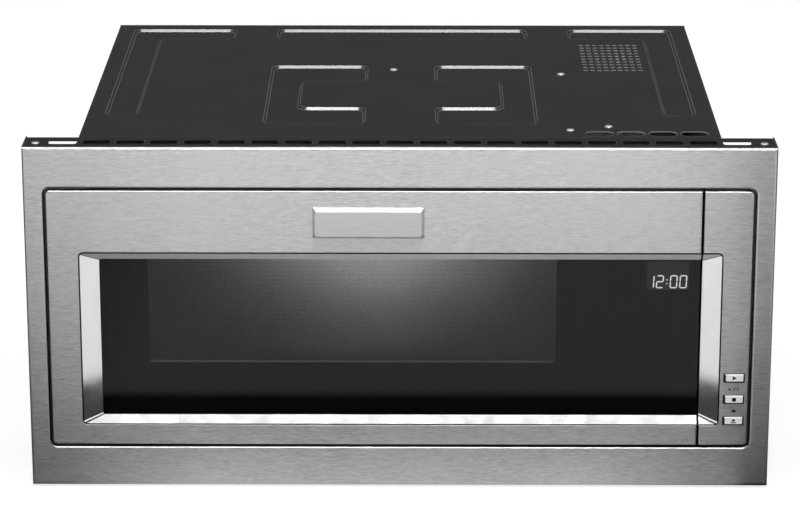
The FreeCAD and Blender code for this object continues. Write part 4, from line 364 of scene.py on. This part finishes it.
def tray_glass():
    """Frosted tray glass with a faint green body and slow waves."""
    mat, shader = new_material("tray_glass", (0.86, 0.9, 0.89), metallic=0.0, roughness=0.4)
    tune(shader, Transmission_Weight=1.0, IOR=1.47, Alpha=0.55)
    wave = noise(mat, place(mat), size=40.0, detail=3.0, rough=0.5)
    tone = two_tone(mat, wave, (0.84, 0.89, 0.88), (0.9, 0.93, 0.92))
    surface(mat, shader, tone, remap(mat, wave, *WIDE, start=0.35, stop=0.5))
    relief(mat, shader, wave, strength=0.08, distance=0.001)
    return mat


def perforated_screen():
    """Black sheet with staggered round holes under a frosted film."""
    pitch = 0.0016
    row_pitch = pitch * 1.732
    hole_radius = pitch * 0.43
    hole_rough = 0.36
    mat, shader = new_material("screen_sheet", grey(0.02), metallic=0.0, roughness=0.45)
    tune(shader, IOR=1.3)
    spot = axes(mat, place(mat))
    reaches = []
    for shift in (0.0, 0.5):
        squares = []
        for axis, step in (("X", pitch), ("Z", row_pitch)):
            count = math_node(mat, "DIVIDE", spot[axis], step)
            cell = math_node(mat, "FRACT", math_node(mat, "ADD", count, shift))
            offset = times(mat, math_node(mat, "SUBTRACT", cell, 0.5), step)
            squares.append(times(mat, offset, offset))
        reaches.append(math_node(mat, "SQRT", math_node(mat, "ADD", *squares)))
    hole = math_node(mat, "LESS_THAN", math_node(mat, "MINIMUM", *reaches), hole_radius)
    join(mat, hole, shader.inputs["Transmission Weight"])
    wear = noise(mat, place(mat), size=120.0)
    sheet = two_tone(mat, wear, grey(0.012), grey(0.025))
    sheen = remap(mat, wear, *WIDE, start=0.3, stop=0.36)
    rough = math_node(mat, "MAXIMUM", sheen, times(mat, hole, hole_rough))
    surface(mat, shader, two_tone(mat, hole, sheet, grey(0.95)), rough)
    return mat


def enamel():
    """Grey speckled enamel of the oven liner."""
    mat, shader = new_material("liner_enamel", grey(0.34), metallic=0.0, roughness=0.3)
    speck = noise(mat, place(mat), size=700.0, detail=2.0, rough=0.7)
    cloud = noise(mat, place(mat), size=12.0, detail=3.0, rough=0.5)
    base = two_tone(mat, cloud, (0.19, 0.193, 0.196), (0.25, 0.253, 0.256))
    tone = two_tone(mat, remap(mat, speck, 0.58, 0.66), base, grey(0.1))
    surface(mat, shader, tone, remap(mat, cloud, *WIDE, start=0.25, stop=0.42))
    relief(mat, shader, speck, strength=0.05, distance=0.0003)
    return mat


def banded(name, first, second, axis, pitch, metallic, rough):
    """Stacked sheets or wound wire: narrow bands across one axis."""
    mat, shader = new_material(name, first, metallic, rough)
    stretch = tuple(1.0 if letter == axis else 0.02 for letter in "XYZ")
    wave = add(mat, "ShaderNodeTexWave", wave_type="BANDS", bands_direction=axis,
               Scale=WAVE_LENGTH / pitch, Distortion=0.4)
    join(mat, place(mat, stretch), wave.inputs["Vector"])
    tone = two_tone(mat, wave.outputs["Fac"], first, second)
    wear = noise(mat, place(mat), size=150.0)
    surface(mat, shader, tone, remap(mat, wear, *WIDE, start=rough * 0.8, stop=rough * 1.25))
    relief(mat, shader, wave.outputs["Fac"], strength=0.4, distance=0.0004)
    return mat


def circuit_board():
    """Green board with paler traces on a fine grid."""
    mat, shader = new_material("circuit_board", (0.03, 0.15, 0.06), metallic=0.0, roughness=0.4)
    cells = add(mat, "ShaderNodeTexBrick", Scale=90.0, Mortar_Size=0.03)
    join(mat, place(mat), cells.inputs["Vector"])
    grain = noise(mat, place(mat), size=300.0)
    base = two_tone(mat, grain, (0.02, 0.11, 0.045), (0.04, 0.18, 0.075))
    tone = two_tone(mat, cells.outputs["Fac"], base, (0.1, 0.3, 0.14))
    surface(mat, shader, tone, remap(mat, grain, *WIDE, start=0.3, stop=0.5))
    relief(mat, shader, cells.outputs["Fac"], strength=0.3, distance=0.0003)
    return mat


def glowing(name, color, strength):
    """Lit segments with a slight unevenness."""
    mat, shader = new_material(name, grey(0.02), metallic=0.0, roughness=0.4)
    tune(shader, Emission_Strength=strength)
    uneven = remap(mat, noise(mat, place(mat), size=400.0), *WIDE)
    join(mat, two_tone(mat, uneven, scaled(color, 0.9), color), shader.inputs["Emission Color"])
    return mat


def print_ink():
    """Matt dark ink with worn spots."""
    mat, shader = new_material("print_ink", grey(0.02), metallic=0.0, roughness=0.6)
    tune(shader, Specular_IOR_Level=0.1)
    wear = noise(mat, place(mat), size=900.0, detail=3.0)
    tone = two_tone(mat, remap(mat, wear, 0.3, 0.75), grey(0.004), grey(0.015))
    surface(mat, shader, tone, remap(mat, wear, *WIDE, start=0.5, stop=0.75))
    return mat


def make_materials():
    """One finished material for each of the record's slots."""
    return {
        "steel": brushed_steel(),
        "bright": polished("bright_chrome", level=0.9, rough=CHROME_ROUGH),
        "key": key_lacquer(),
        "black_paint": coated("black_paint", (0.016, 0.016, 0.017), rough=(0.14, 0.2), grain=450.0, bump=0.02,
                              specular=0.6),
        "zinc": coated("zinc_sheet", (0.5, 0.51, 0.53), rough=(0.34, 0.52), grain=70.0, bump=0.06,
                       metallic=0.9, spread=0.14),
        "screws": coated("screw_plating", (0.72, 0.72, 0.73), rough=(0.3, 0.42), grain=300.0, bump=0.05,
                         metallic=0.4, spread=0.06),
        "enamel": enamel(),
        "glass_dark": dark_glass(),
        "glass_clear": tray_glass(),
        "print": coated("black_print", grey(0.004), rough=(0.25, 0.4), grain=600.0, bump=0.03, specular=0.02),
        "plastic": coated("black_plastic", (0.02, 0.02, 0.021), rough=(0.42, 0.6), grain=800.0, bump=0.2),
        "screen": perforated_screen(),
        "choke": coated("choke_sheet", (0.42, 0.43, 0.44), rough=(0.3, 0.45), grain=120.0, bump=0.05,
                        metallic=0.8, spread=0.12),
        "board": circuit_board(),
        "rubber": coated("foot_rubber", grey(0.02), rough=(0.65, 0.85), grain=500.0, bump=0.3),
        "mica": coated("mica_sheet", (0.62, 0.57, 0.46), rough=(0.3, 0.5), grain=90.0, bump=0.1, spread=0.12),
        "white_plastic": coated("white_plastic", (0.72, 0.72, 0.69), rough=(0.38, 0.52), grain=600.0,
                                bump=0.12, spread=0.05),
        "aluminium": coated("bare_aluminium", (0.72, 0.72, 0.73), rough=(0.3, 0.45), grain=160.0, bump=0.08,
                            metallic=1.0, spread=0.08),
        "iron": coated("varnished_iron", (0.12, 0.12, 0.125), rough=(0.4, 0.6), grain=200.0, bump=0.2,
                       metallic=0.7),
        "copper": banded("wound_copper", (0.5, 0.23, 0.09), (0.72, 0.38, 0.17), axis="Z", pitch=0.0012,
                         metallic=0.9, rough=0.35),
    }


def dress(materials):
    """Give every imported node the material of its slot; a few get one of their own.

    The mask is drawn in a little, so that its face doesn't coincide with the back of the glass.
    """
    slots = {row["node"]: row["material_slot"] for row in frame["record"]["subparts"]}
    core = banded("stacked_core", (0.1, 0.1, 0.105), (0.2, 0.2, 0.21), axis="Y", pitch=0.001,
                  metallic=0.7, rough=0.45)
    strip = coated("strip_paint", grey(0.012), rough=(0.3, 0.4), grain=450.0, bump=0.02, specular=0.25)
    # Painted highlights along the sharp edges of the strip and of the lid.
    painted_edge_highlights(strip, level=0.1)
    lid = cut_edges(materials["black_paint"].copy(), PUNCHED_HALF, level=0.95)
    painted_edge_highlights(lid, level=0.27)
    ramp = ramp_metal()
    plate = coated("front_plate_paint", (0.02, 0.02, 0.021), rough=(0.4, 0.55), grain=300.0, bump=0.05)
    display = coated("display_face", (0.045, 0.045, 0.047), rough=(0.2, 0.3), grain=500.0, bump=0.02,
                     specular=0.2)
    own = {
        "transformer_core": core,
        "badge_plate": badge_metal(),
        "trim_vent_top": strip,
        "trim_vent_bottom": strip,
        "door_bezel": ramp,
        "panel_bezel": ramp,
        "front_plate": plate,
        "hinge_brackets": plate,
        "top_panel": lid,
        "display_module": display,
    }
    for name, obj in NODES.items():
        obj.data.materials.clear()
        obj.data.materials.append(own.get(name, materials[slots[name]]))
    gap = NODES["door_mask"].modifiers.new("print_gap", "DISPLACE")
    gap.mid_level = 0.0
    gap.strength = -PRINT_GAP * MM


# Meshes, in millimetres

# Bars of the seven-bar digits that are drawn
SEGMENTS = {"0": "abcdef", "1": "bc", "2": "abged"}
INK_DEPTH = 0.03
# Thickness of the dark ring of painted shade round each key
SHADE_RING_DEPTH = 0.04
# The key's hole lies inside its box, which takes in the flange behind the steel
HOLE_INSET = 0.6
# The clock's digits and how far left of the display's edge each begins
CLOCK_EDGE = 1.5
CLOCK_DIGITS = (("1", 43.0), ("2", 33.5), ("0", 19.6), ("0", 9.9))
COLON_INSET = 22.6
COLON_HALF = 0.6
CLOCK_DEPTH = 0.1


def mesh_piece(name, work, material, body):
    """Turn a bmesh in millimetres into a piece that rides on a body."""
    bmesh.ops.recalc_face_normals(work, faces=work.faces)
    data = bpy.data.meshes.new(name)
    work.to_mesh(data)
    work.free()
    data.transform(Matrix.Scale(MM, 4))
    data.materials.append(material)
    obj = bpy.data.objects.new(name, data)
    bpy.context.scene.collection.objects.link(obj)
    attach(obj, body)
    return obj


def bridge(work, first, second):
    """Faces between two closed loops with as many vertices each."""
    total = len(first)
    faces = []
    for number in range(total):
        after = (number + 1) % total
        faces.append(work.faces.new((first[number], first[after], second[after], second[number])))
    return faces


def loop(work, outline, y):
    return [work.verts.new((x, y, z)) for x, z in outline]


def extrude(work, outline, y, depth):
    """Flat print or plate: an outline of (x, z) points at y, thickened towards the back."""
    front = loop(work, outline, y)
    back = loop(work, outline, y + depth)
    work.faces.new(front)
    work.faces.new(list(reversed(back)))
    bridge(work, front, back)


def ring_plate(work, outer, inner, y, depth):
    """Closed flat ring between two outlines with as many points each, thickened towards the back."""
    edges = ((outer, y), (inner, y), (inner, y + depth), (outer, y + depth))
    loops = [loop(work, outline, level) for outline, level in edges]
    for first, second in zip(loops, loops[1:] + loops[:1]):
        bridge(work, first, second)


def rectangle(x, z, half_x, half_z):
    """Outline of a rectangle round its middle."""
    return [(x - half_x, z - half_z), (x + half_x, z - half_z),
            (x + half_x, z + half_z), (x - half_x, z + half_z)]


def rounded(x0, z0, x1, z1, radius, steps=5):
    """Outline of a rectangle with rounded corners."""
    points = []
    for cx, cz, start in ((x1 - radius, z1 - radius, 0), (x0 + radius, z1 - radius, 90),
                          (x0 + radius, z0 + radius, 180), (x1 - radius, z0 + radius, 270)):
        for number in range(steps + 1):
            angle = math.radians(start + 90 * number / steps)
            points.append((cx + radius * math.cos(angle), cz + radius * math.sin(angle)))
    return points


def half_circle(x, z, radius, steps=12):
    """Points of the upper half of a circle, from right to left."""
    angles = [math.pi * number / steps for number in range(steps + 1)]
    return [(x + radius * math.cos(angle), z + radius * math.sin(angle)) for angle in angles]


def digit_outlines(char, left, low, width, height, stroke):
    """Outlines of the lit bars of one seven-bar digit."""
    right, high, middle = left + width, low + height, low + height / 2
    half, gap = stroke / 2, stroke * 0.15

    def level_bar(z):
        x0, x1 = left + half + gap, right - half - gap
        return [(x0, z), (x0 + half, z + half), (x1 - half, z + half),
                (x1, z), (x1 - half, z - half), (x0 + half, z - half)]

    def upright_bar(x, low_end, high_end):
        z0, z1 = low_end + gap, high_end - gap
        return [(x, z0), (x + half, z0 + half), (x + half, z1 - half),
                (x, z1), (x - half, z1 - half), (x - half, z0 + half)]

    bars = {
        "a": level_bar(high - half),
        "b": upright_bar(right - half, middle, high - half),
        "c": upright_bar(right - half, low + half, middle),
        "d": level_bar(low + half),
        "e": upright_bar(left + half, low + half, middle),
        "f": upright_bar(left + half, middle, high - half),
        "g": level_bar(middle),
    }
    return [bars[letter] for letter in SEGMENTS[char]]


def clock():
    """Lit clock digits on the display behind the glass."""
    work = bmesh.new()
    low, height, width, stroke = SCREEN_LOW.z + 3.2, 13.8, 7.6, 1.15
    edge = SCREEN_HIGH.x - CLOCK_EDGE
    face = SCREEN_LOW.y - 0.12
    lean = math.tan(math.radians(3))
    outlines = []
    for char, inset in CLOCK_DIGITS:
        outlines += digit_outlines(char, edge - inset, low, width, height, stroke)
    for share in (0.36, 0.64):
        outlines.append(rectangle(edge - COLON_INSET, low + height * share, COLON_HALF, COLON_HALF))
    for outline in outlines:
        extrude(work, [(x + (z - low) * lean, z) for x, z in outline], face, CLOCK_DEPTH)
    mesh_piece("clock_digits", work, glowing("clock_glow", (0.92, 0.95, 1.0), 1.3), "door")


def button_marks(ink):
    """Plain symbols printed on the keys: a triangle, a square, and a triangle over a bar."""
    shapes = {
        "start": [[(-1.9, -2.2), (2.2, 0.0), (-1.9, 2.2)]],
        "cancel": [rounded(-2.0, -2.0, 2.0, 2.0, radius=0.4)],
        "open": [[(-2.5, -0.4), (2.5, -0.4), (0.0, 2.4)], rectangle(0.0, -1.8, half_x=2.5, half_z=0.5)],
    }
    for name, outlines in shapes.items():
        work = bmesh.new()
        for outline in outlines:
            points = [(KEY_X + x, KEY_Z[name] + z) for x, z in outline]
            extrude(work, points, KEY_FACE - INK_DEPTH, INK_DEPTH)
        mesh_piece(name + "_mark", work, ink, name + "_key")


def key_gap_shade(ink):
    """Painted shade: a dark ring on the steel round each key's hole, for the shade in the gap, a little wider
    on the left.
    """
    work = bmesh.new()
    left, edge = 0.5, 0.3
    for low, high in KEYS.values():
        outer = rounded(low.x - left, low.z + edge, high.x - edge, high.z - edge, radius=1.4)
        inner = rounded(low.x + HOLE_INSET, low.z + HOLE_INSET,
                        high.x - HOLE_INSET, high.z - HOLE_INSET, radius=1.2)
        ring_plate(work, outer, inner, STEEL_FACE - SHADE_RING_DEPTH, SHADE_RING_DEPTH)
    mesh_piece("key_gap_shade", work, ink, "chassis")


def strip_marks(ink):
    """Small prints on the steel below two keys: a plus sign with a number, and a padlock."""
    work = bmesh.new()
    drop = 0.6
    x, z = KEY_X - 4.6, (KEY_Z["start"] + KEY_Z["cancel"]) / 2 - drop
    arm, half_arm = 1.6, 0.4
    outlines = [rectangle(x, z, arm, half_arm), rectangle(x, z, half_arm, arm)]
    for char, shift in (("2", 3.2), ("0", 6.8)):
        outlines += digit_outlines(char, x + shift, z - 1.9, width=2.8, height=3.8, stroke=0.75)
    z = (KEY_Z["cancel"] + KEY_Z["open"]) / 2 - drop
    lock_half, lock_low, lock_high = 2.0, z - 1.9, z + 0.5
    outlines.append(rounded(KEY_X - lock_half, lock_low, KEY_X + lock_half, lock_high, radius=0.3))
    shackle = half_circle(KEY_X, lock_high, radius=1.5)
    shackle += reversed(half_circle(KEY_X, lock_high, radius=0.95))
    outlines.append(shackle)
    for outline in outlines:
        extrude(work, outline, STEEL_FACE - INK_DEPTH, INK_DEPTH)
    mesh_piece("strip_prints", work, ink, "chassis")


# Screws, in millimetres

# Radius and height of the head's rings, from the recess to the seat
SCREW_PROFILE = [(2.2, 1.08), (3.0, 0.92), (3.7, 0.62), (4.05, 0.2), (4.1, 0.0)]
SCREW_SIDES = 32
# The sunk cross: radius between and at the arms, height of its rim, radius and height of its floor
CROSS_WAIST, CROSS_ARM, CROSS_RIM = 0.6, 1.4, 1.0
CROSS_FLOOR_RADIUS, CROSS_FLOOR = 0.35, 0.2
TRIM_SCREW_INSET = 12.0
TRIM_SCREW_BACK = 22.0
TRIM_SCREW_SINK = 1.2
RAIL_SCREW_X = LID_HIGH.x + 0.2
RAIL_SCREW_Y = RAIL_HIGH.y - 12.0
RAIL_SCREW_Z = (100.0, 260.0)
BACK_SCREW_X = LID_HIGH.x - 8.0
BACK_SCREW_Z = (15.0, 348.0)
# On the top panel: x, and the distance behind its front edge
LID_SCREWS = ((-8.4, 295.0), (LID_HIGH.x - 152.5, 275.5), (LID_HIGH.x - 152.5, 41.0),
              (LID_HIGH.x - 112.5, 55.0))


def screw_head(work, spot, way):
    """Pan head with a sunk cross, standing on spot and facing along way."""
    turn = Vector((0, 0, 1)).rotation_difference(Vector(way)).to_matrix().to_4x4()
    stand = Matrix.Translation(Vector(spot)) @ turn
    angles = [2 * math.pi * number / SCREW_SIDES for number in range(SCREW_SIDES)]

    def ring(radii, height):
        return [work.verts.new(stand @ Vector((radius * math.cos(angle), radius * math.sin(angle), height)))
                for radius, angle in zip(radii, angles)]

    rings = [ring([radius] * SCREW_SIDES, height) for radius, height in SCREW_PROFILE]
    for inner, outer in zip(rings, rings[1:]):
        bridge(work, inner, outer)
    work.faces.new(list(reversed(rings[-1])))
    cross = ring([CROSS_WAIST + CROSS_ARM * abs(math.cos(2 * angle)) ** 6 for angle in angles], CROSS_RIM)
    floor = ring([CROSS_FLOOR_RADIUS] * SCREW_SIDES, CROSS_FLOOR)
    bridge(work, rings[0], cross)
    # Painted shade: the cross recess takes the second material, black paint.
    shaded_recess = bridge(work, cross, floor) + [work.faces.new(floor)]
    for face in shaded_recess:
        face.material_index = 1


def screws(material, shade):
    """Crosshead screws in place of the plain packed heads, with painted shade in the recess."""
    trim, cabinet = [], []
    for side in (-1, 1):
        x, y = side * (TRIM_HIGH.x - TRIM_SCREW_INSET), TRIM_LOW.y + TRIM_SCREW_BACK
        trim.append(((x, y, TRIM_HIGH.z - TRIM_SCREW_SINK), (0, 0, 1)))
        trim.append(((x, y, TRIM_LOW.z + TRIM_SCREW_SINK), (0, 0, -1)))
        for z in RAIL_SCREW_Z:
            trim.append(((side * RAIL_SCREW_X, RAIL_SCREW_Y, z), (side, 0, 0)))
        for z in BACK_SCREW_Z:
            cabinet.append(((side * BACK_SCREW_X, BACK_PANEL_HIGH.y, z), (0, 1, 0)))
    for x, behind in LID_SCREWS:
        cabinet.append(((x, LID_LOW.y + behind, LID_HIGH.z), (0, 0, 1)))
    for name, spots in (("trim_screws", trim), ("cabinet_screws", cabinet)):
        work = bmesh.new()
        for spot, way in spots:
            screw_head(work, spot, way)
        obj = mesh_piece(name + "_turned", work, material, "chassis")
        obj.data.materials.append(shade)
        for face in obj.data.polygons:
            face.use_smooth = True
        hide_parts(name)


# Studio, in metres

FLOOR_HALF = 30
FLOOR_LEVEL = -0.002
FLOOR_TONE = (0.86, 0.86, 0.86, 1)
WHITE = (1, 1, 1, 1)
# The floor in reflections: where along Y a change begins and ends, and the brightness before and after it
FAR_EDGE, FAR_LEVELS = (-1.45, -1.25), (2.2, 0.8)
MIDDLE_EDGE, MIDDLE_LEVELS = (-1.2, -0.55), (1.0, 0.92)
FRONT_EDGE, FRONT_LEVELS = (-0.39, -0.35), (1.0, 1.12)
# A dark stripe across, ahead of the door
STRIPE_FAR, STRIPE_NEAR, STRIPE_LEVEL = (-0.56, -0.53), (-0.385, -0.355), 0.07
# A darker band on each side, from its inner to its outer edge; the left one fades out towards the camera
LEFT_INNER, LEFT_OUTER, LEFT_LEVEL = (-0.3, -0.46), (-0.75, -0.6), 0.3
LEFT_EDGE, LEFT_SHARES = (-1.45, -1.1), (0.12, 1.0)
RIGHT_INNER, RIGHT_OUTER, RIGHT_LEVEL = (0.312, 0.327), (0.54, 0.42), 0.0
RIGHT_SLANT = 0.1056
# Darker corners beside the trim, and a dark floor behind it that is paler on the right
CORNER_ACROSS, CORNER_ALONG, CORNER_LEVEL = (0.2, 0.36), (-0.45, -0.35), 0.25
REAR_EDGE = (-0.22, -0.12)
REAR_ACROSS, REAR_LEVELS = (-0.3, 0.3), (0.02, 0.5)
# The sky in reflections, by the height of the direction; the bright patch lies overhead and ahead
DOME_EDGE, DOME_LEVELS = (0.45, 0.85), (0.1, 0.8)
PATCH_EDGE, PATCH_LEVELS = (0.91, 0.94), (0.0, 12.0)
PATCH_AHEAD = (-0.06, -0.14)
SKY_LIGHT = 0.5


def light_path(mat):
    return add(mat, "ShaderNodeLightPath").outputs


def mix_shader(mat, factor, first, second):
    """The first shader where the factor is zero and the second where it is one."""
    node = add(mat, "ShaderNodeMixShader")
    if isinstance(factor, float):
        node.inputs["Fac"].default_value = factor
    else:
        join(mat, factor, node.inputs["Fac"])
    join(mat, first.outputs[0], node.inputs[1])
    join(mat, second.outputs[0], node.inputs[2])
    return node


def floor_sheen(mat, across, along):
    """Brightness of the floor in reflections: a dark stripe ahead of the door, darker sides and back."""
    far = remap(mat, along, *FAR_EDGE, *FAR_LEVELS)
    middle = remap(mat, along, *MIDDLE_EDGE, *MIDDLE_LEVELS)
    front = remap(mat, along, *FRONT_EDGE, *FRONT_LEVELS)
    stripe = times(mat, remap(mat, along, *STRIPE_FAR), remap(mat, along, *STRIPE_NEAR, start=1.0, stop=0.0))
    near = remap(mat, along, *LEFT_EDGE, *LEFT_SHARES)
    left = times(mat, remap(mat, across, *LEFT_INNER), remap(mat, across, *LEFT_OUTER), near)
    slanted = math_node(mat, "ADD", across, times(mat, along, RIGHT_SLANT))
    right = times(mat, remap(mat, slanted, *RIGHT_INNER), remap(mat, slanted, *RIGHT_OUTER))
    beside = remap(mat, math_node(mat, "ABSOLUTE", across), *CORNER_ACROSS)
    corner = times(mat, beside, remap(mat, along, *CORNER_ALONG))
    corners = remap(mat, corner, 0.0, 1.0, start=1.0, stop=CORNER_LEVEL)
    behind = remap(mat, along, *REAR_EDGE)
    rear = two_scale(mat, behind, remap(mat, across, *REAR_ACROSS, *REAR_LEVELS))
    levels = ((stripe, STRIPE_LEVEL), (left, LEFT_LEVEL), (right, RIGHT_LEVEL))
    bands = [two_scale(mat, band, level) for band, level in levels]
    return times(mat, far, middle, front, *bands, corners, rear)


def make_floor():
    """Wide floor: white to the camera apart from shadows, matt in diffuse light, uneven in reflections."""
    work = bmesh.new()
    sides = ((-1, -1), (1, -1), (1, 1), (-1, 1))
    work.faces.new([work.verts.new((x * FLOOR_HALF, y * FLOOR_HALF, FLOOR_LEVEL)) for x, y in sides])
    data = bpy.data.meshes.new("floor")
    work.to_mesh(data)
    work.free()
    floor = bpy.data.objects.new("floor", data)
    bpy.context.scene.collection.objects.link(floor)
    mat = bpy.data.materials.new("floor_white")
    mat.use_nodes = True
    mat.node_tree.nodes.clear()
    data.materials.append(mat)
    path = light_path(mat)
    matt = add(mat, "ShaderNodeBsdfDiffuse", Color=FLOOR_TONE)
    white = add(mat, "ShaderNodeEmission", Color=WHITE, Strength=1.5)
    seen = mix_shader(mat, 0.5, white, matt)
    mirror = add(mat, "ShaderNodeEmission", Color=WHITE)
    spot = axes(mat, place(mat))
    join(mat, floor_sheen(mat, spot["X"], spot["Y"]), mirror.inputs["Strength"])
    direct = mix_shader(mat, path["Is Camera Ray"], matt, seen)
    reflected = math_node(mat, "MAXIMUM", path["Is Glossy Ray"], path["Is Transmission Ray"])
    whole = mix_shader(mat, reflected, direct, mirror)
    output = add(mat, "ShaderNodeOutputMaterial")
    join(mat, whole.outputs[0], output.inputs["Surface"])


def make_world():
    """White to the camera, even light on matt surfaces, a dark horizon and a pale ceiling in reflections."""
    world = bpy.data.worlds.new("studio")
    bpy.context.scene.world = world
    world.use_nodes = True
    world.node_tree.nodes.clear()
    path = light_path(world)
    way = axes(world, add(world, "ShaderNodeTexCoord").outputs["Generated"])
    dome = remap(world, way["Z"], *DOME_EDGE, *DOME_LEVELS)
    overhead = remap(world, way["Z"], *PATCH_EDGE, *PATCH_LEVELS)
    patch = times(world, overhead, remap(world, way["Y"], *PATCH_AHEAD))
    mirror = times(world, math_node(world, "ADD", dome, patch), path["Is Glossy Ray"])
    plain = times(world, path["Is Diffuse Ray"], SKY_LIGHT)
    white = math_node(world, "MAXIMUM", path["Is Camera Ray"], path["Is Transmission Ray"])
    level = math_node(world, "ADD", math_node(world, "ADD", mirror, plain), white)
    back = add(world, "ShaderNodeBackground", Color=WHITE)
    join(world, level, back.inputs["Strength"])
    output = add(world, "ShaderNodeOutputWorld")
    join(world, back.outputs[0], output.inputs["Surface"])


def area_light(name, spot, target, width, height, power):
    """Rectangular lamp at a spot, turned to a target; the camera doesn't see it."""
    data = bpy.data.lights.new(name, "AREA")
    data.shape = "RECTANGLE"
    data.size = width
    data.size_y = height
    data.energy = power
    lamp = bpy.data.objects.new(name, data)
    lamp.location = spot
    lamp.rotation_euler = (Vector(target) - Vector(spot)).to_track_quat("-Z", "Y").to_euler()
    lamp.visible_camera = False
    bpy.context.scene.collection.objects.link(lamp)
    return lamp


def make_lights():
    """A wide soft box overhead and the oven's own small lamp."""
    area_light("soft_box", spot=(0.0, -0.7, 2.3), target=(0.0, -0.1, 0.2), width=2.6, height=0.3, power=22.0)
    oven_lamp = area_light("oven_lamp", spot=(-0.03, 0.0, 0.235), target=(-0.03, 0.17, 0.12),
                           width=0.06, height=0.05, power=0.58)
    oven_lamp.data.spread = math.radians(95)
    oven_lamp.visible_glossy = False


bpy.context.scene.view_settings.view_transform = "Standard"
make_camera()
materials = make_materials()
dress(materials)
ink = print_ink()
clock()
button_marks(ink)
key_gap_shade(ink)
strip_marks(ink)
screws(materials["screws"], materials["black_paint"])
make_floor()
make_world()
make_lights()

bpy.context.view_layer.update()
